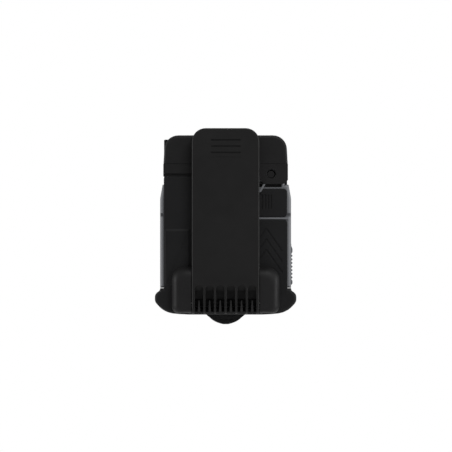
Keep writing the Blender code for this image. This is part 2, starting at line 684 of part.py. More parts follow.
def display_outline(spare=0.0):
    return rectangle(
        -DISPLAY_HALF_WIDTH - spare,
        DISPLAY_LOW - spare,
        DISPLAY_HALF_WIDTH + spare,
        DISPLAY_HIGH + spare,
        2.0 * MM,
    )


def cover_outline(spare=0.0):
    wide = COVER_HALF_WIDTH + spare
    return mirrored([(wide, COVER_LOW - spare, 1.5 * MM), (wide, COVER_HIGH + spare, 4 * MM)])


def key_outline(side, spare=0.0):
    return rectangle(
        side * KEY_X - KEY_HALF_WIDTH - spare,
        KEY_Z - KEY_HALF_HEIGHT - spare,
        side * KEY_X + KEY_HALF_WIDTH + spare,
        KEY_Z + KEY_HALF_HEIGHT + spare,
        KEY_CORNER,
    )


def build_front_frame():
    outline = rounded(
        [
            (-FRAME_HALF_WIDTH, BUMPER_TOP + GAP, 2.0 * MM),
            (FRAME_HALF_WIDTH, BUMPER_TOP + GAP, 2.0 * MM),
            (FRAME_HALF_WIDTH, FRAME_TOP, 0.6 * MM),
            (-FRAME_HALF_WIDTH, FRAME_TOP, FRAME_CORNER),
        ]
    )
    frame = slab(outline, FRAME_FRONT, FRAME_BACK, start_edge=0.5 * MM)
    openings = [display_outline(GAP), cover_outline(GAP)]
    for side in (-1, 1):
        openings.append(key_outline(side, GAP))
        openings.append(light_outline(side, GAP))
    for opening in openings:
        cut(frame, prism(opening, FRAME_FRONT - PAST, FRAME_BACK + PAST))
    for x in (-BUZZER_PORT_PITCH, 0.0, BUZZER_PORT_PITCH):
        cut(frame, rod(BUZZER_PORT, FRAME_FRONT - PAST, FRAME_BACK + PAST, "Y", (x, BUZZER_Z)))
    piece("front_frame", frame, "black_plastic")


def build_display():
    piece("display_window", prism(display_outline(), FRAME_FRONT + GAP, FRAME_BACK), "window_glass")
    module = prism(display_outline(DISPLAY_MARGIN), FRONT_INNER + GAP, BOARD_FRONT - GAP)
    piece("lcd_module", module, "lcd_grey")


def build_keys():
    flange_front = FRONT_INNER + GAP
    flange_back = flange_front + 0.6 * MM
    for name, side in (("power_key", -1), ("menu_key", 1)):
        cap = slab(key_outline(side), FRAME_FRONT + GAP, flange_back, start_edge=0.5 * MM)
        join(cap, prism(key_outline(side, 0.9 * MM), flange_front, flange_back))
        piece(name, cap, "key_grey", (side * KEY_X, FRAME_FRONT + GAP, KEY_Z))
    wide = KEY_X + KEY_HALF_WIDTH + 2 * MM
    tall = KEY_HALF_HEIGHT + 1.4 * MM
    sheet = rectangle(-wide, KEY_Z - tall, wide, KEY_Z + tall, 1 * MM)
    front = flange_back + KEY_TRAVEL + GAP
    piece("keypad_membrane", prism(sheet, front, BOARD_FRONT - GAP), "seal_silicone")


def build_lights_and_buzzer():
    for name, side in (("alarm_light_right", -1), ("alarm_light_left", 1)):
        lens = slab(light_outline(side), FRAME_FRONT + GAP, FRAME_BACK, start_edge=0.4 * MM)
        join(lens, prism(light_outline(side, -LIGHT_RIM - GAP), FRAME_FRONT + PAST, FRONT_INNER))
        piece(name, lens, "lens_red")
    centre = (0.0, BUZZER_Z)
    can = rod(BUZZER_RADIUS, FRONT_INNER + GAP, BOARD_FRONT - GAP, "Y", centre, ROUND)
    cut(can, rod(1.0 * MM, FRONT_INNER - PAST, FRONT_INNER + PAST, "Y", centre))
    piece("buzzer", can, "component_black")


def build_sensors():
    places = [(index - (SENSOR_COUNT - 1) / 2) * SENSOR_PITCH for index in range(SENSOR_COUNT)]
    for index, x in enumerate(places):
        can = slab(circle(SENSOR_RADIUS, ROUND, (x, SENSOR_Z)), SENSOR_FRONT, SENSOR_BACK, start_edge=0.6 * MM)
        cut(can, rod(SENSOR_PORT / 2, SENSOR_FRONT - PAST, SENSOR_FRONT + PAST, "Y", (x, SENSOR_Z)))
        piece(f"gas_sensor_{index + 1}", can, "sensor_shell")
    low, high = CASE_TOP + 2 * GAP, SENSOR_Z + SENSOR_RADIUS
    wide = SENSOR_BOARD_HALF_WIDTH
    half = [(wide, low, 0.0), (wide, high, SENSOR_BOARD_CORNER)]
    board = prism(mirrored(half), SENSOR_BACK + GAP, SENSOR_BACK + GAP + BOARD_THICKNESS)
    piece("sensor_board", board, "board_green")
    gasket = prism(mirrored(half), FRAME_BACK + 1.5 * GAP, SENSOR_FRONT - GAP)
    cover = slab(cover_outline(), FRAME_FRONT + GAP, FRAME_BACK - 2 * GAP, start_edge=0.4 * MM)
    long, high = COVER_SLOT / 2, COVER_SLOT_HEIGHT / 2
    for x in places:
        cut(gasket, rod(GASKET_HOLE, CASE_FRONT - 2 * PAST, SENSOR_FRONT, "Y", (x, SENSOR_Z), ROUND))
        for row in COVER_SLOT_ROWS:
            z = SENSOR_Z + row
            slot = rectangle(x - long, z - high, x + long, z + high, 0.5 * MM)
            cut(cover, prism(slot, FRAME_FRONT - PAST, FRAME_BACK + PAST))
    piece("sensor_gasket", gasket, "seal_silicone")
    piece("sensor_cover", cover, "black_plastic")
    mat = rectangle(-COVER_HALF_WIDTH + GAP, COVER_LOW + GAP, COVER_HALF_WIDTH - GAP, COVER_HIGH - GAP, 3.5 * MM)
    piece("sensor_filter", prism(mat, FRAME_BACK - GAP, FRAME_BACK), "filter_white")


# ---- Inside -----------------------------------------------------------------------------------------------


def build_boards():
    outline = rectangle(-BOARD_HALF_WIDTH, BOARD_BOTTOM, BOARD_HALF_WIDTH, BOARD_TOP, 1.5 * MM)
    board = prism(outline, BOARD_FRONT, BOARD_BACK)
    for x, z in case_screw_places():
        cut(board, rod(BOSS_RADIUS + GAP, BOARD_FRONT - PAST, BOARD_BACK + PAST, "Y", (x, z)))
    for side in (-1, 1):
        centre = (side * BOARD_SCREW_X, BOARD_SCREW_Z)
        cut(board, rod(SHANK_RADIUS * 0.8 + GAP, BOARD_FRONT - PAST, BOARD_BACK + PAST, "Y", centre))
    piece("main_board", board, "board_green")
    low = BOARD_BACK + GAP
    plug = box((PLUG_X[0], low, PLUG_Z[0]), (PLUG_X[1], low + PLUG_HEIGHT, PLUG_Z[1]))
    piece("battery_plug", plug, "component_black")
    middle = (SIDE_KEY_LOW + SIDE_KEY_HIGH) / 2
    switch_low = (-SWITCH_OUT, low, middle - SWITCH_HALF_HEIGHT)
    switch_high = (-SWITCH_OUT + SWITCH_SIZE, low + SWITCH_DEPTH, middle + SWITCH_HALF_HEIGHT)
    piece("side_switch", box(switch_low, switch_high), "component_black")


def build_battery():
    outline = rectangle(-BATTERY_HALF_WIDTH, BATTERY_FRONT, BATTERY_HALF_WIDTH, BATTERY_BACK, 2.5 * MM)
    piece("battery_cell", prism(outline, BATTERY_LOW, BATTERY_HIGH, "Z"), "battery_wrap")
    wide = BATTERY_HALF_WIDTH + GAP + TRAY_WALL
    low, high = BATTERY_LOW - GAP - TRAY_WALL, BATTERY_HIGH + GAP + TRAY_WALL
    floor = BATTERY_FRONT - GAP - TRAY_WALL
    tray = prism(rectangle(-wide, low, wide, high, 2 * MM), floor, BATTERY_BACK - 2 * MM)
    inside = rectangle(-wide + TRAY_WALL, low + TRAY_WALL, wide - TRAY_WALL, high - TRAY_WALL, 1 * MM)
    cut(tray, prism(inside, floor + TRAY_WALL, BATTERY_BACK))
    for x in (-wide + 3 * MM, wide - 3 * MM):
        for z in (low + 3 * MM, high - 3 * MM):
            join(tray, rod(1.5 * MM, BOARD_BACK + GAP, floor + TRAY_WALL / 2, "Y", (x, z)))
    piece("battery_tray", tray, "black_plastic")


def build_motor():
    centre = (MOTOR_Y, MOTOR_Z)
    end = MOTOR_X + MOTOR_LENGTH
    motor = rod(MOTOR_RADIUS, MOTOR_X, end, "X", centre, ROUND)
    join(motor, rod(MOTOR_SHAFT, end - PAST, WEIGHT_X + WEIGHT_LENGTH, "X", centre, SMALL_ROUND))
    piece("vibration_motor", motor, "steel")
    half_moon = [Vector((WEIGHT_RADIUS * math.cos(a), WEIGHT_RADIUS * math.sin(a))) for a in half_turn()]
    hub = WEIGHT_RADIUS * 0.4
    profile = [Vector(centre) + point for point in half_moon]
    weight = prism(profile, WEIGHT_X, WEIGHT_X + WEIGHT_LENGTH, "X")
    join(weight, rod(hub, WEIGHT_X, WEIGHT_X + WEIGHT_LENGTH, "X", centre, SMALL_ROUND))
    cut(weight, rod(MOTOR_SHAFT + RUN, WEIGHT_X - PAST, WEIGHT_X + WEIGHT_LENGTH + PAST, "X", centre))
    piece("motor_weight", weight, "steel", (WEIGHT_X, *centre))


def half_turn(steps=10):
    """Angles of the lower half of a circle."""
    return [math.pi + math.pi * step / steps for step in range(steps + 1)]


# ---- Side key and charging port ---------------------------------------------------------------------------


def build_side_key():
    """A slide-in key for the thumb: two smooth lumps with a row of grip ribs between them."""
    face = CASE_HALF_WIDTH + 0.25 * MM
    crown = CASE_HALF_WIDTH + SIDE_KEY_PROUD
    profile = [(face, SIDE_KEY_LOW, 0.0), (crown, SIDE_KEY_LOW + 0.6 * MM, 0.3 * MM)]
    profile.append((crown, SIDE_KEY_FIRST_RIB - 1.7 * MM, 0.3 * MM))
    profile.append((face, SIDE_KEY_FIRST_RIB - 0.8 * MM, 0.0))
    for index in range(SIDE_KEY_RIBS):
        z = SIDE_KEY_FIRST_RIB + index * SIDE_KEY_PITCH
        profile.append((face, z - 0.7 * MM, 0.0))
        profile.append((crown - 0.15 * MM, z, 0.15 * MM))
        profile.append((face, z + 0.7 * MM, 0.0))
    last = SIDE_KEY_FIRST_RIB + (SIDE_KEY_RIBS - 1) * SIDE_KEY_PITCH
    profile.append((crown, last + 1.9 * MM, 0.3 * MM))
    profile.append((crown, last + 3.6 * MM, 0.3 * MM))
    profile.append((face, SIDE_KEY_HIGH - 1.2 * MM, 0.0))
    profile.append((face, SIDE_KEY_HIGH, 0.0))
    inner = CASE_HALF_WIDTH - CASE_WALL - GAP
    profile.append((inner, SIDE_KEY_HIGH, 0.0))
    profile.append((inner, SIDE_KEY_LOW, 0.0))
    outline = [Vector((-point.x, point.y)) for point in rounded(profile, 2)]
    key = prism(outline, SIDE_KEY_FRONT, SIDE_KEY_BACK)
    step_top = BUMPER_TOP + 2 * GAP + CASE_WALL
    flange_low = (-inner, SIDE_KEY_FRONT - 1.0 * MM, step_top)
    flange_high = (-inner + 0.9 * MM, SIDE_KEY_BACK + 1.0 * MM, SIDE_KEY_HIGH + 1.2 * MM)
    join(key, box(flange_low, flange_high))
    middle = (SIDE_KEY_LOW + SIDE_KEY_HIGH) / 2
    plunger_end = -SWITCH_OUT - GAP - SIDE_KEY_TRAVEL
    plunger_low = (-inner + 0.5 * MM, -5.4 * MM, middle - 1.2 * MM)
    join(key, box(plunger_low, (plunger_end, -3.2 * MM, middle + 1.2 * MM)))
    piece("side_key", key, "case_grey", (-CASE_HALF_WIDTH, (SIDE_KEY_FRONT + SIDE_KEY_BACK) / 2, middle))


def port_opening(low, high, spare):
    """The charging port's opening through the case's floor and the boot's sole, grown by spare."""
    outline = rectangle(
        -PORT_HALF_WIDTH - spare,
        PORT_FRONT - spare - 0.2 * MM,
        PORT_HALF_WIDTH + spare,
        PORT_FRONT + PORT_DEPTH + spare + 0.5 * MM,
    )
    return prism(outline, low, high, "Z")


def build_charge_port():
    back = PORT_FRONT + PORT_DEPTH
    shell = box((-PORT_HALF_WIDTH, PORT_FRONT, 3.0 * MM), (PORT_HALF_WIDTH, back, 10.5 * MM))
    mouth = box((-4.4 * MM, PORT_FRONT + 0.8 * MM, 2.0 * MM), (4.4 * MM, back - 0.8 * MM, 8.5 * MM))
    cut(shell, mouth)
    tongue = box((-3.4 * MM, PORT_FRONT + 1.7 * MM, 3.6 * MM), (3.4 * MM, back - 1.7 * MM, 9.0 * MM))
    join(shell, tongue)
    piece("charge_port", shell, "steel")


def build_port_cover():
    """A rubber cover with a plug above and a rounded pull tongue below."""
    half = [(1.2 * MM, TONGUE_BOTTOM, 0.0)]
    half += [(width * MM, -depth * MM, 0.0) for width, depth in TONGUE_CURVE]
    cover = prism(mirrored(half + [(TONGUE_HALF_WIDTH, -GAP, 0.0)]), TONGUE_FRONT, TONGUE_BACK)
    plug_low = (-PORT_HALF_WIDTH + 0.4 * MM, PORT_FRONT, -GAP - PAST / 2)
    plug_high = (PORT_HALF_WIDTH - 0.4 * MM, PORT_FRONT + PORT_DEPTH - 0.1 * MM, 1.6 * MM)
    join(cover, box(plug_low, plug_high))
    piece("port_cover", cover, "black_rubber", (0.0, PORT_HINGE_Y, PORT_HINGE_Z))


# ---- Belt clip --------------------------------------------------------------------------------------------


def comb_centres():
    first = -(COMB_COUNT - 1) / 2 * COMB_PITCH
    return [first + index * COMB_PITCH for index in range(COMB_COUNT)]


def comb_cavity(half_width):
    """The space that the arm's knuckles turn in, open below."""
    space = KNUCKLE + 0.4 * MM
    arc = [Vector((PIN_Y + space * math.cos(a), PIN_Z + space * math.sin(a))) for a in upper_turn()]
    arc.append(Vector((PIN_Y - space, -PAST)))
    arc.append(Vector((PIN_Y + space, -PAST)))
    return prism(arc, -half_width, half_width, "X")


def upper_turn(steps=14):
    """Angles of the upper half of a circle."""
    return [math.pi * step / steps for step in range(steps + 1)]


def base_plug(spare=0.0):
    """The block under the clip base that sits in the boot's window."""
    high = BASE_TOP - 3.0 * MM
    outline = rectangle(-BASE_PLUG - spare, BASE_PLUG_LOW - spare, BASE_PLUG + spare, high + spare, 1.5 * MM)
    return prism(outline, SKIN_IN - spare, BASE_FLOOR + PAST / 2)


def base_ring(half_width, top, corner):
    half = [(half_width, BASE_BOTTOM, 0.0), (half_width, top, corner)]
    return mirrored(half)


def build_clip_base():
    reach = BASE_FLANK - BASE_FLOOR
    slope_x = BASE_HALF_WIDTH - BASE_PLATEAU
    slope_z = BASE_TOP - BASE_PLATEAU_TOP
    shares = (0.0, 0.12, 0.36, 0.68, 1.0)
    heights = (0.0, 0.35, 0.7, 0.92, 1.0)
    rings = [
        base_ring(BASE_HALF_WIDTH - slope_x * share, BASE_TOP - slope_z * share, BASE_CORNER - 1.5 * MM * share)
        for share in shares
    ]
    base = loft(rings, [BASE_FLOOR + reach * height for height in heights])
    join(base, base_plug())
    channel = ARM_HALF_WIDTH + GAP
    cut(base, prism(rectangle(-channel, -PAST, channel, BASE_TOP + PAST), BASE_CHANNEL, BASE_FLANK + PAST))
    cut(base, comb_cavity(channel))
    lean = [
        Vector((BASE_CHANNEL + PAST, COMB_TOP)),
        Vector((BASE_CHANNEL, COMB_TOP)),
        Vector((PIN_Y - COMB_LEAN, PIN_Z)),
        Vector((BASE_CHANNEL + PAST, PIN_Z)),
    ]
    half_slots = COMB_PITCH * (COMB_COUNT - 1) / 2 + COMB_SLOT / 2
    cut(base, prism(lean, -half_slots, half_slots, "X"))
    nose = KNUCKLE - 0.6 * MM
    for x in comb_centres():
        start, end = x - COMB_RIB / 2, x + COMB_RIB / 2
        web = rectangle(BASE_FLOOR - 1.0 * MM, BASE_PLUG_LOW + 0.2 * MM, PIN_Y, PIN_Z + 6.0 * MM)
        finger = prism(web, start, end, "X")
        join(finger, rod(nose, start, end, "X", (PIN_Y, PIN_Z), ROUND))
        join(base, finger)
    cut(base, rod(PIN_RADIUS + RUN, -PIN_HALF_LENGTH - GAP, PIN_HALF_LENGTH + GAP, "X", (PIN_Y, PIN_Z), ROUND))
    for side in (-1, 1):
        cut(base, *spring_pocket(side))
    for x, z in clip_screw_places():
        cut(base, rod(SHANK_RADIUS + GAP, SKIN_IN - PAST, BASE_CHANNEL, "Y", (x, z)))
        cut(base, rod(HEAD_RADIUS + GAP, BASE_CHANNEL - HEAD_HEIGHT - 2 * GAP, BASE_CHANNEL + PAST, "Y", (x, z)))
    piece("clip_base", base, "clip_plastic")


def spring_pocket(side):
    """Cutters for one spring's pocket beside the arm: the coil's room, its leg's slot, a mouth and a hole."""
    room = SPRING_RADIUS + SPRING_WIRE + GAP
    inner = SPRING_START - SPRING_WIRE - GAP
    outer = SPRING_START + SPRING_TURNS * SPRING_PITCH + SPRING_WIRE + GAP
    start, end = sorted((side * inner, side * outer))
    leg_low, leg_high = sorted((side * (outer - 1.3 * MM), side * outer))
    leg_y = PIN_Y - SPRING_RADIUS
    slack = SPRING_WIRE + GAP
    stub_start, stub_end = sorted((side * ARM_HALF_WIDTH, side * SPRING_START))
    return [
        rod(room, start, end, "X", (PIN_Y, PIN_Z), ROUND),
        box((start, PIN_Y - room, -PAST), (end, PIN_Y, PIN_Z)),
        box((leg_low, leg_y - slack, PIN_Z), (leg_high, leg_y + slack, PIN_Z + SPRING_LEG + slack)),
        rod(slack, stub_start, stub_end, "X", (PIN_Y, PIN_Z + SPRING_RADIUS), SMALL_ROUND),
    ]


def arm_profile():
    """The arm from its side: the plate, the lip that closes the belt gap and the round knuckle at the foot."""
    foot_angle = math.acos((ARM_IN - PIN_Y) / KNUCKLE)
    sweep = 2 * math.pi - foot_angle
    turns = [-sweep * step / 22 for step in range(23)]
    profile = [Vector((PIN_Y + KNUCKLE * math.cos(a), PIN_Z + KNUCKLE * math.sin(a))) for a in turns]
    lip = [
        (ARM_IN, LIP_LOW - LIP_SLOPE, 0.0),
        (SKIN_OUT + 2 * GAP, LIP_LOW + 2.2 * MM, 0.8 * MM),
        (SKIN_OUT + 2 * GAP, LIP_HIGH - 1.0 * MM, 0.8 * MM),
        (ARM_IN, LIP_HIGH + 1.0 * MM, 0.0),
        (ARM_IN, ARM_TOP + PAST, 0.0),
        (ARM_OUT, ARM_TOP + PAST, 0.0),
    ]
    return profile + rounded(lip)


def arm_envelope():
    """The arm from behind, with its outer edge rounded, as a solid to keep what lies inside it."""
    outline = mirrored([(ARM_HALF_WIDTH, -PAST, 0.0), (ARM_HALF_WIDTH, ARM_TOP, ARM_CORNER)])
    edge = 0.6 * MM
    insets = (0.0, 0.0, 0.3 * edge, edge, edge)
    depths = (BASE_FLOOR - PAST, ARM_OUT - edge, ARM_OUT - 0.3 * edge, ARM_OUT - 0.02 * MM, ARM_OUT + PAST)
    return loft([shrunk(outline, inset) for inset in insets], depths)


def build_clip_arm():
    arm = prism(arm_profile(), -ARM_HALF_WIDTH - PAST, ARM_HALF_WIDTH + PAST, "X")
    combine(arm, [arm_envelope()], "INTERSECT")
    for x in comb_centres():
        top = COMB_TOP - COMB_SLOT / 2
        slot = [Vector((x + side * COMB_SLOT / 2, -PAST)) for side in (-1, 1)]
        radius = COMB_SLOT / 2
        slot += [Vector((x + radius * math.cos(a), top + radius * math.sin(a))) for a in upper_turn(8)]
        cut(arm, prism(slot, BASE_FLOOR - PAST, ARM_OUT + PAST))
    cut(arm, rod(PIN_RADIUS + RUN, -ARM_HALF_WIDTH - PAST, ARM_HALF_WIDTH + PAST, "X", (PIN_Y, PIN_Z), ROUND))
    for row in GRIP_ROWS:
        groove = rectangle(-GRIP_HALF_LENGTH, row - GRIP_WIDTH / 2, GRIP_HALF_LENGTH, row + GRIP_WIDTH / 2)
        cut(arm, prism(groove, ARM_OUT - GRIP_DEPTH, ARM_OUT + PAST))
    for side in (-1, 1):
        start, end = sorted((side * (ARM_HALF_WIDTH - 0.9 * MM), side * (ARM_HALF_WIDTH + PAST)))
        slack = SPRING_WIRE + GAP
        swing = SPRING_RADIUS * math.sin(math.radians(ARM_SWING))
        low = (start, PIN_Y - swing - slack, PIN_Z + SPRING_RADIUS - slack)
        cut(arm, box(low, (end, PIN_Y + slack, PIN_Z + SPRING_RADIUS + slack)))
    piece("clip_arm", arm, "clip_plastic", (0.0, PIN_Y, PIN_Z))


def tube(path, radius, sides):
    """A round wire along a path of points, with flat ends."""
    shape = bmesh.new()
    rings = []
    side_way = None
    for index, here in enumerate(path):
        ahead = path[min(index + 1, len(path) - 1)] - path[max(index - 1, 0)]
        ahead.normalize()
        if side_way is None:
            side_way = ahead.orthogonal().normalized()
        side_way = (side_way - ahead * side_way.dot(ahead)).normalized()
        other_way = ahead.cross(side_way)
        turns = [2 * math.pi * side / sides for side in range(sides)]
        spokes = [math.cos(t) * side_way + math.sin(t) * other_way for t in turns]
        rings.append([shape.verts.new(here + radius * spoke) for spoke in spokes])
    for lower, upper in zip(rings, rings[1:]):
        for index in range(sides):
            after = (index + 1) % sides
            shape.faces.new((lower[index], lower[after], upper[after], upper[index]))
    shape.faces.new(rings[0])
    shape.faces.new(rings[-1])
    return mesh_of(shape, "wire")


def build_clip_pin_and_springs():
    pin = rod(PIN_RADIUS, -PIN_HALF_LENGTH, PIN_HALF_LENGTH, "X", (PIN_Y, PIN_Z), ROUND)
    piece("clip_pin", pin, "black_steel")
    steps_per_turn = 10
    steps = round(SPRING_TURNS * steps_per_turn)
    for name, side in (("right", -1), ("left", 1)):
        path = [Vector((side * (ARM_HALF_WIDTH - 0.3 * MM), PIN_Y, PIN_Z + SPRING_RADIUS))]
        path.append(Vector((side * (SPRING_START - 0.5 * MM), PIN_Y, PIN_Z + SPRING_RADIUS)))
        for step in range(1, steps + 1):
            angle = math.pi / 2 + 2 * math.pi * step / steps_per_turn
            x = side * (SPRING_START + SPRING_PITCH * step / steps_per_turn)
            y = PIN_Y + SPRING_RADIUS * math.cos(angle)
            z = PIN_Z + SPRING_RADIUS * math.sin(angle)
            path.append(Vector((x, y, z)))
        last = path[-1]
        path.append(Vector((last.x, last.y, last.z + SPRING_LEG)))
        piece(f"clip_spring_{name}", tube(path, SPRING_WIRE, 6), "steel")


# ---- Assembly ---------------------------------------------------------------------------------------------


def clear_scene():
    for obj in list(bpy.data.objects):
        bpy.data.objects.remove(obj)


def main():
    clear_scene()
    carrier = bpy.data.objects.new("detector", None)
    carrier.location = -BELT_SLOT
    bpy.context.collection.objects.link(carrier)
    build_rear_case()
    build_front_case()
    build_case_seal()
    build_screws()
    build_rear_boot()
    build_small_pad()
    build_upper_band()
    build_sensor_cap()
    build_front_frame()
    build_display()
    build_keys()
    build_lights_and_buzzer()
    build_sensors()
    build_boards()
    build_battery()
    build_motor()
    build_side_key()
    build_charge_port()
    build_port_cover()
    build_clip_base()
    build_clip_arm()
    build_clip_pin_and_springs()


main()
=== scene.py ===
"""Looks of a portable gas detector with a spring belt clip.

Every shape is drawn in millimetres in the detector's own frame: z = 0 is the sole of the rubber boot, y = 0
is the parting plane of the two case halves, +Y is the belt side and +X is the side without the thumb key.
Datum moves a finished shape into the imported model's frame.
"""

import json
import logging
import math
from dataclasses import dataclass, field
from enum import Enum
from typing import Sequence

import bmesh
import bpy
from mathutils import Matrix, Vector

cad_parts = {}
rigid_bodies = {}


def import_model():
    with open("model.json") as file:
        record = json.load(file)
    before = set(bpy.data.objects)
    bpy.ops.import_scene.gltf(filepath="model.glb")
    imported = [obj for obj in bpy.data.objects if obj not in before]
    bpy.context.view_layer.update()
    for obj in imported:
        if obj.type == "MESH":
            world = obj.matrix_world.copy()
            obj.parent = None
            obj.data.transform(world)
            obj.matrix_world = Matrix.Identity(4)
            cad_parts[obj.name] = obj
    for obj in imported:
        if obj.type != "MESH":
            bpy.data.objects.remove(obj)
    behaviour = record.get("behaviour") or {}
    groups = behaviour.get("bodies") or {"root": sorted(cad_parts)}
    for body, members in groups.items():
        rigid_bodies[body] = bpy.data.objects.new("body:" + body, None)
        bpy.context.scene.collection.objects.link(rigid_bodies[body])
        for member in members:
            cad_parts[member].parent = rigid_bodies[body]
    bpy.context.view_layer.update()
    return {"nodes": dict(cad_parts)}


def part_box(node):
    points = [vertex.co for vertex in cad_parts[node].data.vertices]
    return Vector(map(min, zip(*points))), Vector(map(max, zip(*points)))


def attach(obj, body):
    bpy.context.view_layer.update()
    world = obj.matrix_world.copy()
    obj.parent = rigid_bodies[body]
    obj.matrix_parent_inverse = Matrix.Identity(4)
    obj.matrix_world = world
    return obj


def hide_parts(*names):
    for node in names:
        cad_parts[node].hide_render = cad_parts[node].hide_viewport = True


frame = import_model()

LOG = logging.getLogger("detector")

Outline = list[Vector]
Corner = tuple[float, float, float]
Colour = tuple[float, float, float]

MM = 0.001
GAP = 0.3  # clearance between neighbouring pieces
PAST = 1.0  # how far a cutter runs past the face that it opens
FAR = 100.0  # past everything on the detector
PIN_PLAY = 0.06  # clearance between the clip's pin and its holes
FINE = 8  # straight pieces in a rounded corner
RIM = 5  # straight pieces in a rounded rim


# ---- Outlines ------------------------------------------------------------------------------------


def rounded(corners: Sequence[Corner], steps: int = FINE) -> Outline:
    """A closed outline through corners that are each rounded with an arc.

    Args:
        corners: (u, v, radius) of each corner, in order.
        steps: straight pieces in each arc.

    Returns:
        The outline's points.
    """
    outline: Outline = []
    for index, (u, v, radius) in enumerate(corners):
        here = Vector((u, v))
        if radius <= 0:
            outline.append(here)
            continue
        before = (Vector(corners[index - 1][:2]) - here).normalized()
        after = (Vector(corners[(index + 1) % len(corners)][:2]) - here).normalized()
        half_angle = before.angle(after) / 2
        reach = radius / math.tan(half_angle)
        middle = here + (before + after).normalized() * radius / math.sin(half_angle)
        start = here + before * reach - middle
        turn = (here + after * reach - middle).angle_signed(start)
        outline += [middle + Matrix.Rotation(turn * step / steps, 2) @ start for step in range(steps + 1)]
    return outline


def rectangle(low_u: float, low_v: float, high_u: float, high_v: float, radius: float = 0.0) -> Outline:
    """A rectangle with four equal rounded corners.

    Args:
        low_u: left side.
        low_v: lower side.
        high_u: right side.
        high_v: upper side.
        radius: of the corners, limited to less than half of each side.

    Returns:
        The outline's points.
    """
    radius = min(radius, 0.49 * (high_u - low_u), 0.49 * (high_v - low_v))
    corners = [(low_u, low_v), (high_u, low_v), (high_u, high_v), (low_u, high_v)]
    return rounded([(u, v, radius) for u, v in corners])


def circle(radius: float, centre: tuple[float, float] = (0.0, 0.0), sides: int = 40) -> Outline:
    """A circle as a many-sided outline.

    Args:
        radius: of the circle.
        centre: (u, v) of its middle.
        sides: how many straight pieces it has.

    Returns:
        The outline's points.
    """
    turns = [math.tau * side / sides for side in range(sides)]
    return [Vector((centre[0] + radius * math.cos(t), centre[1] + radius * math.sin(t))) for t in turns]


def mirrored(half: Sequence[Corner]) -> Outline:
    """A shape with two equal sides.

    Args:
        half: (u, v, radius) corners of its +X side, bottom to top.

    Returns:
        The whole outline's points.
    """
    return rounded(list(half) + [(-u, v, radius) for u, v, radius in reversed(half)])


def shrunk(outline: Outline, distance: float) -> Outline:
    """An outline moved inwards, or outwards by a negative distance, with as many points.

    Args:
        outline: the outline to move.
        distance: how far its sides move in.

    Returns:
        The new outline's points.
    """
    moved = []
    for index, here in enumerate(outline):
        before = (here - outline[index - 1]).normalized()
        after = (outline[(index + 1) % len(outline)] - here).normalized()
        inward = Vector((-before.y - after.y, before.x + after.x)).normalized()
        moved.append(here + inward * distance / inward.dot(Vector((-after.y, after.x))))
    return moved


# ---- Datum ---------------------------------------------------------------------------------------


class Datum:
    """Where the detector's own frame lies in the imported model."""

    @staticmethod
    def origin() -> Vector:
        """The detector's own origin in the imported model's frame, in metres."""
        seal_low, seal_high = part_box("case_seal")
        return Vector((0.0, (seal_low.y + seal_high.y) / 2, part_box("rear_boot")[0].z))

    @staticmethod
    def span(node: str) -> tuple[Vector, Vector]:
        """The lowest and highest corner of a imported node, in millimetres of the detector's own frame."""
        low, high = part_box(node)
        return (low - Datum.origin()) / MM, (high - Datum.origin()) / MM

    @staticmethod
    def middle(node: str) -> tuple[float, float]:
        """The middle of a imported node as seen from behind, as (x, z)."""
        low, high = Datum.span(node)
        return (low.x + high.x) / 2, (low.z + high.z) / 2

    @staticmethod
    def matrix() -> Matrix:
        """What turns the detector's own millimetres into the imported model's metres."""
        return Matrix.Translation(Datum.origin()) @ Matrix.Scale(MM, 4)


# ---- Solids --------------------------------------------------------------------------------------


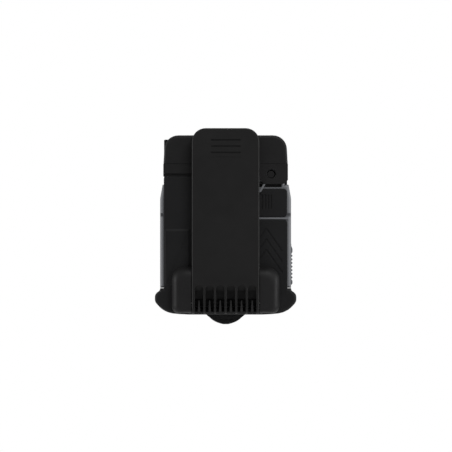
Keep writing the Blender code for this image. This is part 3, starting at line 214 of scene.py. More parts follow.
class Form:
    """A closed solid that is being shaped, in millimetres of the detector's own frame."""

    WELD = 0.0008  # points that lie closer than this become one

    def __init__(self, mesh: bpy.types.Mesh) -> None:
        """Takes a closed mesh whose faces point outwards."""
        self.mesh = mesh

    @staticmethod
    def place(axis: str, u: float, v: float, depth: float) -> Vector:
        """The point at (u, v) of an outline that is drawn square to an axis."""
        return {"X": Vector((depth, u, v)), "Y": Vector((u, depth, v)), "Z": Vector((u, v, depth))}[axis]

    @classmethod
    def of(cls, shape: bmesh.types.BMesh) -> "Form":
        """A solid from a bmesh.

        Args:
            shape: the closed bmesh, which is freed.

        Returns:
            The solid.
        """
        bmesh.ops.recalc_face_normals(shape, faces=shape.faces)
        mesh = bpy.data.meshes.new("form")
        shape.to_mesh(mesh)
        shape.free()
        return cls(mesh)

    @classmethod
    def loft(cls, outlines: Sequence[Outline], depths: Sequence[float], axis: str = "Y") -> "Form":
        """A skin over outlines with as many points each, closed at both ends.

        Args:
            outlines: the outlines, from low to high.
            depths: where each outline lies along the axis.
            axis: the axis that the outlines are square to.

        Returns:
            The solid.
        """
        shape = bmesh.new()
        rings = [
            [shape.verts.new(cls.place(axis, point.x, point.y, depth)) for point in outline]
            for outline, depth in zip(outlines, depths)
        ]
        for lower, upper in zip(rings, rings[1:]):
            for index in range(len(lower)):
                after = (index + 1) % len(lower)
                shape.faces.new((lower[index], lower[after], upper[after], upper[index]))
        shape.faces.new(rings[0])
        shape.faces.new(rings[-1])
        return cls.of(shape)

    @classmethod
    def layered(cls, outline: Outline, layers: Sequence[tuple[float, float]], axis: str = "Y") -> "Form":
        """A solid from one outline that is moved in or out at each depth.

        Args:
            outline: the outline.
            layers: how far in it is moved, and how deep it then lies, from low to high.
            axis: the axis that the outline is square to.

        Returns:
            The solid.
        """
        rings = [shrunk(outline, layer[0]) for layer in layers]
        return cls.loft(rings, [layer[1] for layer in layers], axis)

    @classmethod
    def slab(
        cls,
        outline: Outline,
        start: float,
        end: float,
        rims: tuple[float, float] = (0.0, 0.0),
        axis: str = "Y",
    ) -> "Form":
        """A plate with rounded rims.

        Args:
            outline: its outline.
            start: its lower face.
            end: its upper face.
            rims: rounding of the lower and of the upper rim.
            axis: the axis that its faces are square to.

        Returns:
            The solid.
        """
        turns = [math.pi / 2 * step / RIM for step in range(RIM + 1)]
        layers = [(0.0, start)]
        if rims[0]:
            layers = [(rims[0] * (1 - math.sin(t)), start + rims[0] * (1 - math.cos(t))) for t in turns]
        if rims[1]:
            layers += [(rims[1] * (1 - math.cos(t)), end - rims[1] * (1 - math.sin(t))) for t in turns]
        else:
            layers.append((0.0, end))
        return cls.layered(outline, layers, axis)

    @classmethod
    def well(cls, outline: Outline, floor: float, face: float, lip: float, axis: str = "Y") -> "Form":
        """A cutter for a recess or opening whose lip is rounded where it meets the face.

        Args:
            outline: the opening's outline.
            floor: how deep the cutter goes.
            face: the surface that it opens.
            lip: rounding of the lip.
            axis: the axis that the face is square to.

        Returns:
            The cutter.
        """
        way = 1.0 if face > floor else -1.0
        turns = [math.pi / 2 * step / RIM for step in range(RIM + 1)]
        layers = [(0.0, floor)]
        layers += [(-lip * (1 - math.cos(t)), face - way * lip * (1 - math.sin(t))) for t in turns]
        layers.append((-lip - 0.01, face + way * PAST))
        return cls.layered(outline, layers, axis)

    @classmethod
    def block(cls, low: Sequence[float], high: Sequence[float], edge: float = 0.0) -> "Form":
        """A block between two corners, with its upright edges and its rims rounded."""
        outline = rectangle(low[0], low[1], high[0], high[1], edge)
        return cls.slab(outline, low[2], high[2], (edge * 0.6, edge * 0.6), "Z")

    @classmethod
    def rod(cls, radius: float, start: float, end: float, axis: str, centre: tuple[float, float]) -> "Form":
        """A round rod along an axis."""
        return cls.slab(circle(radius, centre), start, end, (0.0, 0.0), axis)

    @classmethod
    def wire(cls, path: Sequence[Vector], radius: float, sides: int = 12) -> "Form":
        """A round wire along a path, with flat ends.

        Args:
            path: the points that it follows.
            radius: of the wire.
            sides: how many sides it has.

        Returns:
            The solid.
        """
        shape = bmesh.new()
        rings, across = [], None
        for index, here in enumerate(path):
            ahead = (path[min(index + 1, len(path) - 1)] - path[max(index - 1, 0)]).normalized()
            across = ahead.orthogonal() if across is None else across
            across = (across - ahead * across.dot(ahead)).normalized()
            other = ahead.cross(across)
            turns = [math.tau * side / sides for side in range(sides)]
            ring = [here + radius * (math.cos(t) * across + math.sin(t) * other) for t in turns]
            rings.append([shape.verts.new(point) for point in ring])
        for lower, upper in zip(rings, rings[1:]):
            for index in range(sides):
                after = (index + 1) % sides
                shape.faces.new((lower[index], lower[after], upper[after], upper[index]))
        shape.faces.new(rings[0])
        shape.faces.new(rings[-1])
        return cls.of(shape)

    def combined(self, tools: Sequence["Form"], operation: str) -> "Form":
        """This solid after a Boolean with each tool in turn.

        Args:
            tools: the other solids, which are used up.
            operation: UNION, DIFFERENCE or INTERSECT.

        Returns:
            This solid, changed.
        """
        scene = bpy.context.scene.collection.objects
        target = bpy.data.objects.new("target", self.mesh)
        others = [bpy.data.objects.new("tool", tool.mesh) for tool in tools]
        for obj in (target, *others):
            scene.link(obj)
        for other in others:
            boolean = target.modifiers.new("boolean", "BOOLEAN")
            boolean.operation, boolean.solver, boolean.object = operation, "EXACT", other
        graph = bpy.context.evaluated_depsgraph_get()
        self.mesh = bpy.data.meshes.new_from_object(target.evaluated_get(graph))
        for obj in (target, *others):
            bpy.data.objects.remove(obj)
        return self

    def cut(self, *tools: "Form") -> "Form":
        """This solid without the tools' space."""
        return self.combined(tools, "DIFFERENCE")

    def join(self, *tools: "Form") -> "Form":
        """This solid fused with others."""
        return self.combined(tools, "UNION")

    def finished(
        self,
        name: str,
        finish: "Finish",
        body: str = "housing",
        stands_for: Sequence[str] = (),
        sharp: float = 34.0,
    ) -> bpy.types.Object:
        """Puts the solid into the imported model's frame as a shown piece.

        Args:
            name: the piece's name.
            finish: its finish.
            body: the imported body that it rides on.
            stands_for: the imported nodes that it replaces.
            sharp: edges that turn by more degrees than this stay crisp.

        Returns:
            The piece's object.
        """
        shape = bmesh.new()
        shape.from_mesh(self.mesh)
        bmesh.ops.remove_doubles(shape, verts=shape.verts, dist=self.WELD)
        bmesh.ops.dissolve_degenerate(shape, edges=shape.edges, dist=self.WELD)
        bmesh.ops.transform(shape, matrix=Datum.matrix(), verts=shape.verts)
        mesh = bpy.data.meshes.new(name)
        shape.to_mesh(mesh)
        shape.free()
        mesh.shade_smooth()
        mesh.set_sharp_from_angle(angle=math.radians(sharp))
        obj = bpy.data.objects.new(name, mesh)
        bpy.context.scene.collection.objects.link(obj)
        weighted = obj.modifiers.new("normals", "WEIGHTED_NORMAL")
        weighted.keep_sharp = True
        graph = bpy.context.evaluated_depsgraph_get()
        obj.data = bpy.data.meshes.new_from_object(obj.evaluated_get(graph))
        obj.modifiers.clear()
        obj.data.materials.clear()
        obj.data.materials.append(Paintbox.material(finish))
        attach(obj, body)
        if stands_for:
            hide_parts(*stands_for)
        LOG.info("%s: %d faces on %s", name, len(obj.data.polygons), body)
        return obj


class RowTree:
    """Geometry nodes that repeat a pattern along a row and repeat that row, as copies of real geometry."""

    INPUTS = (
        ("Pattern", "NodeSocketObject"),
        ("Count", "NodeSocketInt"),
        ("Start", "NodeSocketVector"),
        ("Step", "NodeSocketVector"),
        ("Rows", "NodeSocketInt"),
        ("Row Step", "NodeSocketVector"),
        ("Material", "NodeSocketMaterial"),
    )

    def __init__(self) -> None:
        """Builds the tree once, with named inputs for its sizes."""
        self.tree = bpy.data.node_groups.new("repeated rows", "GeometryNodeTree")
        face = self.tree.interface
        face.new_socket("Geometry", in_out="INPUT", socket_type="NodeSocketGeometry")
        self.ids = {
            label: face.new_socket(label, in_out="INPUT", socket_type=kind).identifier
            for label, kind in self.INPUTS
        }
        face.new_socket("Geometry", in_out="OUTPUT", socket_type="NodeSocketGeometry")
        add, link = self.tree.nodes.new, self.tree.links.new
        given = add("NodeGroupInput")
        row, column = add("GeometryNodeMeshLine"), add("GeometryNodeMeshLine")
        for line, count, step in ((row, "Count", "Step"), (column, "Rows", "Row Step")):
            link(given.outputs[count], line.inputs["Count"])
            link(given.outputs[step], line.inputs["Offset"])
        link(given.outputs["Start"], row.inputs["Start Location"])
        spread = add("GeometryNodeInstanceOnPoints")
        link(column.outputs["Mesh"], spread.inputs["Points"])
        link(row.outputs["Mesh"], spread.inputs["Instance"])
        points = add("GeometryNodeRealizeInstances")
        link(spread.outputs["Instances"], points.inputs["Geometry"])
        pattern = add("GeometryNodeObjectInfo")
        link(given.outputs["Pattern"], pattern.inputs["Object"])
        copies = add("GeometryNodeInstanceOnPoints")
        link(points.outputs["Geometry"], copies.inputs["Points"])
        link(pattern.outputs["Geometry"], copies.inputs["Instance"])
        real = add("GeometryNodeRealizeInstances")
        link(copies.outputs["Instances"], real.inputs["Geometry"])
        dressed = add("GeometryNodeSetMaterial")
        link(real.outputs["Geometry"], dressed.inputs["Geometry"])
        link(given.outputs["Material"], dressed.inputs["Material"])
        link(dressed.outputs["Geometry"], add("NodeGroupOutput").inputs["Geometry"])

    def repeated(
        self,
        pattern: Form,
        finish: "Finish",
        start: Sequence[float],
        count: int,
        step: Sequence[float],
        rows: int = 1,
        row_step: Sequence[float] = (0.0, 0.0, 0.0),
    ) -> Form:
        """Copies a solid along a row, and that row along another way.

        Args:
            pattern: the solid to repeat, drawn round the origin.
            finish: the finish that the copies get.
            start: where the first copy goes.
            count: how many copies a row has.
            step: from one copy to the next.
            rows: how many rows there are.
            row_step: from one row to the next.

        Returns:
            All the copies as one plain mesh.
        """
        scene = bpy.context.scene.collection.objects
        source = bpy.data.objects.new("pattern", pattern.mesh)
        holder = bpy.data.objects.new("row", bpy.data.meshes.new("row"))
        for obj in (source, holder):
            scene.link(obj)
        modifier = holder.modifiers.new("rows", "NODES")
        modifier.node_group = self.tree
        values = (source, count, tuple(start), tuple(step), rows, tuple(row_step), Paintbox.material(finish))
        for named, value in zip(self.INPUTS, values):
            modifier[self.ids[named[0]]] = value
        graph = bpy.context.evaluated_depsgraph_get()
        mesh = bpy.data.meshes.new_from_object(holder.evaluated_get(graph))
        for obj in (source, holder):
            bpy.data.objects.remove(obj)
        return Form(mesh)


# ---- Finishes ------------------------------------------------------------------------------------


class Value:
    """A socket of a material's nodes that takes part in arithmetic on numbers."""

    def __init__(self, kit: "NodeKit", socket: bpy.types.NodeSocket) -> None:
        self.kit, self.socket = kit, socket

    def __add__(self, other: "Value | float") -> "Value":
        """The sum."""
        return self.kit.maths("ADD", self, other)

    def __sub__(self, other: "Value | float") -> "Value":
        """The difference."""
        return self.kit.maths("SUBTRACT", self, other)

    def __rsub__(self, other: float) -> "Value":
        """The difference the other way round."""
        return self.kit.maths("SUBTRACT", other, self)

    def __mul__(self, other: "Value | float") -> "Value":
        """The product."""
        return self.kit.maths("MULTIPLY", self, other)

    def __truediv__(self, other: "Value | float") -> "Value":
        """The quotient."""
        return self.kit.maths("DIVIDE", self, other)

    def __abs__(self) -> "Value":
        """The value without its sign."""
        return self.kit.maths("ABSOLUTE", self)

    __radd__ = __add__
    __rmul__ = __mul__


class NodeKit:
    """A material under construction, with its shader and the nodes that feed it."""

    def __init__(self, name: str) -> None:
        """Makes a material that holds one plain Principled shader.

        Args:
            name: the material's name.
        """
        self.material = bpy.data.materials.new(name)
        self.material.use_nodes = True
        self.tree = self.material.node_tree
        self.shader = next(node for node in self.tree.nodes if node.type == "BSDF_PRINCIPLED")

    def node(
        self,
        kind: str,
        settings: dict[str, object] | None = None,
        inputs: dict[str | int, object] | None = None,
        output: str | int = 0,
    ) -> Value:
        """Adds a node.

        Args:
            kind: the node's type.
            settings: its own settings, set first; stops are those of a colour ramp.
            inputs: values or links of its sockets, by name or place.
            output: the socket to give back.

        Returns:
            The chosen output.
        """
        made = self.tree.nodes.new(kind)
        for label, setting in (settings or {}).items():
            if label != "stops":
                setattr(made, label, setting)
                continue
            ramp = made.color_ramp
            while len(ramp.elements) < len(setting):
                ramp.elements.new(0.5)
            for element, (position, colour) in zip(ramp.elements, setting):
                element.position, element.color = position, (*colour, 1.0)
        for label, value in (inputs or {}).items():
            self.feed(made.inputs[label], value)
        return Value(self, made.outputs[output])

    def feed(self, socket: bpy.types.NodeSocket, value: object) -> None:
        """Links or sets one input socket.

        Args:
            socket: the input.
            value: what it gets.
        """
        if isinstance(value, Value):
            self.tree.links.new(value.socket, socket)
        else:
            socket.default_value = value

    def maths(self, operation: str, *values: "Value | float") -> Value:
        """One sum on numbers."""
        return self.node("ShaderNodeMath", {"operation": operation}, dict(enumerate(values)))

    def place(self) -> Value:
        """The point on the piece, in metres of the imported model's frame."""
        return self.node("ShaderNodeTexCoord", output="Object")

    def scaled(self, scale: Sequence[float]) -> Value:
        """The point on the piece, scaled along each axis."""
        inputs = {0: self.place(), 1: tuple(scale)}
        return self.node("ShaderNodeVectorMath", {"operation": "MULTIPLY"}, inputs)

    def axis(self, name: str) -> Value:
        """One coordinate of the point on the piece, in millimetres of the detector's own frame.

        Args:
            name: X, Y or Z.

        Returns:
            The coordinate.
        """
        index = "XYZ".index(name)
        across = self.node("ShaderNodeSeparateXYZ", inputs={0: self.place()}, output=index)
        return across * (1 / MM) - Datum.origin()[index] / MM

    def noise(self, size: float, detail: float = 2.0, stretch: Sequence[float] = (1.0, 1.0, 1.0)) -> Value:
        """Smooth random values from 0 to 1.

        Args:
            size: how far apart its grains lie, in millimetres.
            detail: how many finer layers it has.
            stretch: scale of the pattern along each axis.

        Returns:
            The values.
        """
        inputs = {"Vector": self.scaled(stretch), "Scale": 1 / (size * MM), "Detail": detail}
        return self.node("ShaderNodeTexNoise", inputs=inputs)

    def ramp(self, value: Value, low: float, high: float) -> Value:
        """0 below low and 1 above high, smooth between."""
        inputs = {0: value, 1: low, 2: high}
        return self.node("ShaderNodeMapRange", {"interpolation_type": "SMOOTHSTEP"}, inputs)

    def mix(self, share: "Value | float", first: "Value | Colour", second: "Value | Colour") -> Value:
        """A colour between two colours."""
        ends = [end if isinstance(end, Value) else (*end, 1.0) for end in (first, second)]
        return self.node("ShaderNodeMix", {"data_type": "RGBA"}, {0: share, 6: ends[0], 7: ends[1]}, 2)

    def bump(self, height: Value, depth: float, normal: Value | None = None) -> Value:
        """A bumped normal.

        Args:
            height: from 0 to 1.
            depth: what 1 stands for, in millimetres.
            normal: the normal that it goes on top of.

        Returns:
            The new normal.
        """
        inputs: dict[str | int, object] = {"Height": height, "Distance": depth * MM}
        if normal is not None:
            inputs["Normal"] = normal
        return self.node("ShaderNodeBump", inputs=inputs)

    def dress(self, **sockets: object) -> bpy.types.Material:
        """Sets or links the shader's sockets.

        Args:
            sockets: what each socket gets, by its name with _ for a space.

        Returns:
            The material.
        """
        for label, value in sockets.items():
            if isinstance(value, tuple):
                value = (*value, 1.0)
            self.feed(self.shader.inputs[label.replace("_", " ")], value)
        return self.material


@dataclass(frozen=True)
class Moulded:
    """Moulded plastic or rubber with a spark-eroded grain, faint flow marks and the polish of handling."""

    colour: Colour
    roughness: float
    grain: float = 0.32
    depth: float = 0.012
    mottle: float = 0.12
    polish: float = 0.08
    specular: float = 0.5
    worn_and_highlit_beyond: float | None = None  # distance from the middle plane past which the edge is painted paler: partly wear, partly a painted highlight
    wear_and_highlight: float = 0.5  # how much paler that edge gets, as wear and as a painted highlight
    sheen: float = 0.0

    def material(self, name: str) -> bpy.types.Material:
        """Makes the material.

        Args:
            name: the material's name.

        Returns:
            The material.
        """
        kit = NodeKit(name)
        cloud, grain = kit.noise(14.0, 3.0), kit.noise(self.grain, 2.0)
        dark = tuple(part * (1 - self.mottle) for part in self.colour)
        light = tuple(part * (1 + self.mottle) for part in self.colour)
        colour = kit.mix(kit.ramp(cloud, 0.3, 0.7), dark, light)
        colour = kit.mix(grain * 0.25, colour, tuple(part * 1.6 for part in self.colour))
        rough = self.roughness + (kit.noise(5.0, 4.0) - 0.5) * (2 * self.polish)
        # Beyond that distance the edge is painted paler and a little smoother: partly wear, partly a painted
        # highlight along the clip's long edges.
        if self.worn_and_highlit_beyond is not None:
            edge = kit.ramp(abs(kit.axis("X")), self.worn_and_highlit_beyond, self.worn_and_highlit_beyond + 0.5)
            wear_and_highlight = edge * kit.ramp(kit.noise(2.4, 4.0, (1.0, 1.0, 0.4)), 0.2, 0.55)
            colour = kit.mix(wear_and_highlight * self.wear_and_highlight, colour, tuple(part * 2.4 for part in self.colour))
            rough = rough - wear_and_highlight * 0.06
        normal = kit.bump(grain, self.depth, kit.bump(cloud, 0.05))
        return kit.dress(
            Base_Color=colour,
            Roughness=rough,
            Normal=normal,
            Specular_IOR_Level=self.specular,
            Sheen_Weight=self.sheen,
        )


@dataclass(frozen=True)
class Metal:
    """Drawn or plated metal with fine lines along one axis."""

    colour: Colour
    roughness: float
    lines: Sequence[float] = (1.0, 1.0, 0.06)

    def material(self, name: str) -> bpy.types.Material:
        """Makes the material.

        Args:
            name: the material's name.

        Returns:
            The material.
        """
        kit = NodeKit(name)
        lines, cloud = kit.noise(0.12, 2.0, self.lines), kit.noise(3.0, 3.0)
        colour = kit.mix(cloud, self.colour, tuple(part * 0.72 for part in self.colour))
        rough = self.roughness + (lines - 0.5) * 0.2 + (cloud - 0.5) * 0.12
        return kit.dress(Base_Color=colour, Roughness=rough, Metallic=1.0, Normal=kit.bump(lines, 0.004))


@dataclass(frozen=True)
class Board:
    """A circuit board: green solder mask over copper tracks, with tinned pads in rows."""

    mask: Colour = (0.012, 0.085, 0.035)
    copper: Colour = (0.03, 0.19, 0.075)
    tin: Colour = (0.55, 0.55, 0.52)
    pad_pitch: float = 2.1
    tracks: float = 95.0  # copper tracks in a metre, roughly

    def material(self, name: str) -> bpy.types.Material:
        """Makes the material.

        Args:
            name: the material's name.

        Returns:
            The material.
        """
        kit = NodeKit(name)
        where = kit.scaled((1.0, 0.0, 1.0))
        spots = {"Vector": where, "Scale": 1 / (self.pad_pitch * MM), "Randomness": 0.7}
        cells = kit.node("ShaderNodeTexVoronoi", {"distance": "CHEBYCHEV"}, spots)
        paths = {"Vector": where, "Scale": self.tracks, "Distortion": 3.5, "Detail": 1.0}
        waves = kit.node("ShaderNodeTexWave", inputs=paths, output=1)
        track, pad = kit.ramp(waves, 0.55, 0.62), 1 - kit.ramp(cells, 0.12, 0.16)
        colour = kit.mix(pad * 0.9, kit.mix(track, self.mask, self.copper), self.tin)
        return kit.dress(
            Base_Color=colour,
            Roughness=0.42 - pad * 0.14,
            Metallic=pad * 0.8,
            Normal=kit.bump(track + pad * 0.6, 0.03),
        )


@dataclass(frozen=True)
class Clear:
    """A clear or tinted window with faint smears."""

    colour: Colour
    roughness: float
    clearness: float
    ior: float = 1.49

    def material(self, name: str) -> bpy.types.Material:
        """Makes the material.

        Args:
            name: the material's name.

        Returns:
            The material.
        """
        kit = NodeKit(name)
        smear = kit.ramp(kit.noise(9.0, 4.0, (1.0, 1.0, 0.5)), 0.45, 0.8)
        colour = kit.mix(smear, self.colour, tuple(part * 0.93 for part in self.colour))
        return kit.dress(
            Base_Color=colour,
            Roughness=self.roughness + smear * 0.06,
            Transmission_Weight=self.clearness,
            IOR=self.ior,
            Coat_Weight=0.3,
        )


@dataclass(frozen=True)
class Ribbed:
    """A surface whose fine lines cross at right angles, such as a filter mat or a shrink sleeve."""

    colour: Colour
    roughness: float
    pitch: float
    depth: float

    def material(self, name: str) -> bpy.types.Material:
        """Makes the material.

        Args:
            name: the material's name.

        Returns:
            The material.
        """
        kit = NodeKit(name)
        turns = [kit.maths("SINE", kit.axis(way) * (math.tau / self.pitch)) for way in "XZ"]
        weave = (turns[0] * turns[1]) * 0.5 + 0.5
        colour = kit.mix(weave * 0.6, self.colour, tuple(part * 0.8 for part in self.colour))
        rough = self.roughness + (kit.noise(2.0, 3.0) - 0.5) * 0.1
        return kit.dress(Base_Color=colour, Roughness=rough, Normal=kit.bump(weave, self.depth))


class Finish(Enum):
    """The detector's finishes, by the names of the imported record's material slots."""

    CASE = "case_grey"
    RUBBER = "black_rubber"
    HOUSING = "black_plastic"
    CLIP = "clip_plastic"
    STEEL = "steel"
    BLACK_STEEL = "black_steel"
    BOARD = "board_green"
    WINDOW = "window_glass"
    LCD = "lcd_grey"
    KEY = "key_grey"
    SILICONE = "seal_silicone"
    LENS = "lens_red"
    FILTER = "filter_white"
    SENSOR = "sensor_shell"
    BATTERY = "battery_wrap"
    COMPONENT = "component_black"


RECIPES = {
    Finish.CASE: Moulded((0.17, 0.175, 0.187), 0.5, depth=0.01, mottle=0.04),
    Finish.RUBBER: Moulded((0.0085, 0.0086, 0.0092), 0.6, 0.4, 0.02, specular=0.24, sheen=0.01),
    Finish.HOUSING: Moulded((0.0095, 0.0092, 0.0096), 0.55, specular=0.26),
    # The clip arm's long edges are painted paler: partly wear, partly a painted highlight.
    Finish.CLIP: Moulded((0.0092, 0.009, 0.0091), 0.52, specular=0.26, worn_and_highlit_beyond=16.45),
    Finish.STEEL: Metal((0.56, 0.56, 0.55), 0.3),
    Finish.BLACK_STEEL: Metal((0.008, 0.008, 0.0085), 0.48, (1.0, 1.0, 1.0)),
    Finish.BOARD: Board(),
    Finish.WINDOW: Clear((0.92, 0.95, 0.95), 0.04, 1.0),
    Finish.LCD: Moulded((0.33, 0.37, 0.3), 0.3, 0.2, 0.002, 0.03, 0.02),
    Finish.KEY: Moulded((0.23, 0.235, 0.25), 0.6, mottle=0.05),
    Finish.SILICONE: Moulded((0.3, 0.3, 0.3), 0.6, depth=0.006, mottle=0.05),
    Finish.LENS: Clear((0.62, 0.02, 0.015), 0.12, 0.45),
    Finish.FILTER: Ribbed((0.72, 0.72, 0.7), 0.85, 0.5, 0.05),
    Finish.SENSOR: Moulded((0.66, 0.66, 0.63), 0.45, mottle=0.04),
    Finish.BATTERY: Ribbed((0.045, 0.14, 0.28), 0.4, 3.1, 0.01),
    Finish.COMPONENT: Moulded((0.018, 0.018, 0.019), 0.5, grain=0.15),
}


class Paintbox:
    """Makes each finish's material once."""

    made: dict[Finish, bpy.types.Material] = {}

    @classmethod
    def material(cls, finish: Finish) -> bpy.types.Material:
        """The material of a finish.

        Args:
            finish: the finish.

        Returns:
            Its material.
        """
        if finish not in cls.made:
            cls.made[finish] = RECIPES[finish].material(finish.value)
        return cls.made[finish]


# ---- Case ----------------------------------------------------------------------------------------


@dataclass
class CaseHalves:
    """The two grey halves of the case, whose rails show beside the rubber."""

    foot_step: float = 1.8  # how much narrower the case is inside the boot
    foot_corner: float = 4.5
    wall: float = 2.6
    face_wall: float = 2.0
    boot_top: float = 13.4
    shoulder_start: float = 59.3
    shoulder_end: float = 66.3
    shoulder_lean: float = 1.25
    shoulder_round: float = 14.0
    neck_inset: float = 3.2
    neck_corner: float = 3.0
    back: float = 11.7
    back_rim: float = 1.6
    front_rim: float = 1.2
    seam_rim: float = 0.12  # rounding where the two halves meet
    notch: tuple[float, float, float] = (50.9, 0.9, 0.5)  # the rails' notches: height, half height and depth
    notch_back: float = 1.5  # depth of the groove that carries each notch over the back
    notch_reach: float = 2.4  # how far that groove runs in from the rail
    bar: tuple[tuple[float, float], ...] = ((-20.3, 66.5), (-19.2, 66.5), (-17.0, 62.5), (-18.1, 62.5))
    bar_top: float = 13.3
    ridge: tuple[float, float, float, float] = (-32.0, 48.65, -15.9, 49.55)  # between the two rubber pads
    ridge_top: float = 12.95
    shadow_gap: tuple[float, float, float, float] = (-28.6, 65.0, -16.4, 67.5)  # deep groove under the band
    shadow_depth: float = 1.85
    screw: float = 2.2
    screw_depth: float = 1.9
    key_slot: tuple[float, float, float, float] = (-8.9, 14.8, -2.3, 36.5)  # the thumb key's opening
    port_walls: tuple[float, float] = (1.0, 6.5)  # heights between which the charging port's opening runs
    key_flange: float = 0.6
    key_corner: float = 3.0
    window_ledge: float = 2.0  # what the display window rests on, all round
    front_reach: float = 4.0  # how deep the openings for the display and the buzzer go
    buzzer: tuple[float, float] = (1.4, 21.0)  # radius and height of the buzzer's port

    def outline(self) -> Outline:
        """The case seen from behind: foot, rails, shoulders and neck.

        Returns:
            The outline's points.
        """
        low, high = Datum.span("rear_case")
        rail = high.x
        return mirrored(
            [
                (rail - self.foot_step, low.z, self.foot_corner),
                (rail - self.foot_step, self.boot_top + GAP, 0.0),
                (rail, self.boot_top + GAP, 0.0),
                (rail, self.shoulder_start, self.shoulder_round),
                (rail - self.shoulder_lean, self.shoulder_end, 0.0),
                (rail - self.neck_inset, self.shoulder_end, 0.0),
                (rail - self.neck_inset, high.z, self.neck_corner),
            ]
        )

    def notches(self, reach: float, corner: float, start: float, end: float) -> list[Form]:
        """Cutters for the small notches in both rails.

        Args:
            reach: how far they run in from the rail.
            corner: rounding of their corners.
            start: the depth at which they start.
            end: the depth at which they end.

        Returns:
            One cutter for each rail.
        """
        height, half = self.notch[:2]
        rail = Datum.span("rear_case")[1].x
        made = []
        for side in (-1, 1):
            near, far = sorted((side * (rail - reach), side * (rail + PAST)))
            made.append(Form.slab(rectangle(near, height - half, far, height + half, corner), start, end))
        return made

    def back_half(self) -> Form:
        """The back half, with its screw seats, the gap under the band and the strips between the pads.

        Returns:
            The half.
        """
        back = self.back
        shell = Form.slab(self.outline(), GAP / 2, back, (self.seam_rim, self.back_rim))
        hollow = Form.slab(shrunk(self.outline(), self.wall), -PAST, back - self.face_wall)
        seats = []
        for place in ("upper_right", "upper_left", "lower_right", "lower_left"):
            centre = Datum.middle(f"case_screw_{place}")
            seats.append(Form.well(circle(self.screw, centre), back - self.screw_depth, back, 0.2))
        bar = Form.slab([Vector(point) for point in self.bar], back - self.shadow_depth - 0.1, self.bar_top)
        gap = Form.slab(rectangle(*self.shadow_gap, 0.4), back - self.shadow_depth, back + PAST)
        ridge = Form.slab(rectangle(*self.ridge), back - PAST, self.ridge_top, (0.0, 0.2))
        grooves = self.notches(self.notch_reach, 0.0, back - self.notch_back, FAR)
        return shell.cut(hollow, gap, *seats).join(bar, ridge).cut(*grooves)

    def front_half(self) -> Form:
        """The front half, with the openings for the keys, the display, the buzzer and the charging port.

        Returns:
            The half.
        """
        front = Datum.span("front_case")[0].y
        shell = Form.slab(self.outline(), front, -GAP / 2, (self.front_rim, self.seam_rim))
        cutters = [Form.slab(shrunk(self.outline(), self.wall), front + self.face_wall, PAST)]
        cutters += self.notches(self.notch[2], 0.1, front - PAST, front + self.notch_back)
        rail, key_face = Datum.span("rear_case")[1].x, Datum.span("side_key")[1].x
        cutters.append(Form.slab(rectangle(*self.key_slot, 0.3), -rail - PAST, key_face, axis="X"))
        low, high = Datum.span("charge_port")
        opening = rectangle(low.x - GAP, low.y - GAP, high.x + GAP, high.y + GAP, 0.6)
        cutters.append(Form.slab(opening, *self.port_walls, axis="Z"))
        for node in ("power_key", "menu_key"):
            low, high = Datum.span(node)
            rim = self.key_flange
            hole = rectangle(low.x + rim, low.z + rim, high.x - rim, high.z - rim, self.key_corner)
            cutters.append(Form.slab(hole, front - PAST, front + self.face_wall + PAST))
        low, high = Datum.span("display_window")
        rim = self.window_ledge
        view = rectangle(low.x + rim, low.z + rim, high.x - rim, high.z - rim, 1.0)
        radius, height = self.buzzer
        deep = front + self.front_reach
        cutters.append(Form.slab(view, front - PAST, deep))
        cutters.append(Form.rod(radius, front - PAST, deep, "Y", (0.0, height)))
        return shell.cut(*cutters)


    def build(self) -> None:
        """Makes both halves."""
        self.back_half().finished("case_back_half", Finish.CASE, stands_for=["rear_case"])
        self.front_half().finished("case_front_half", Finish.CASE, stands_for=["front_case"])


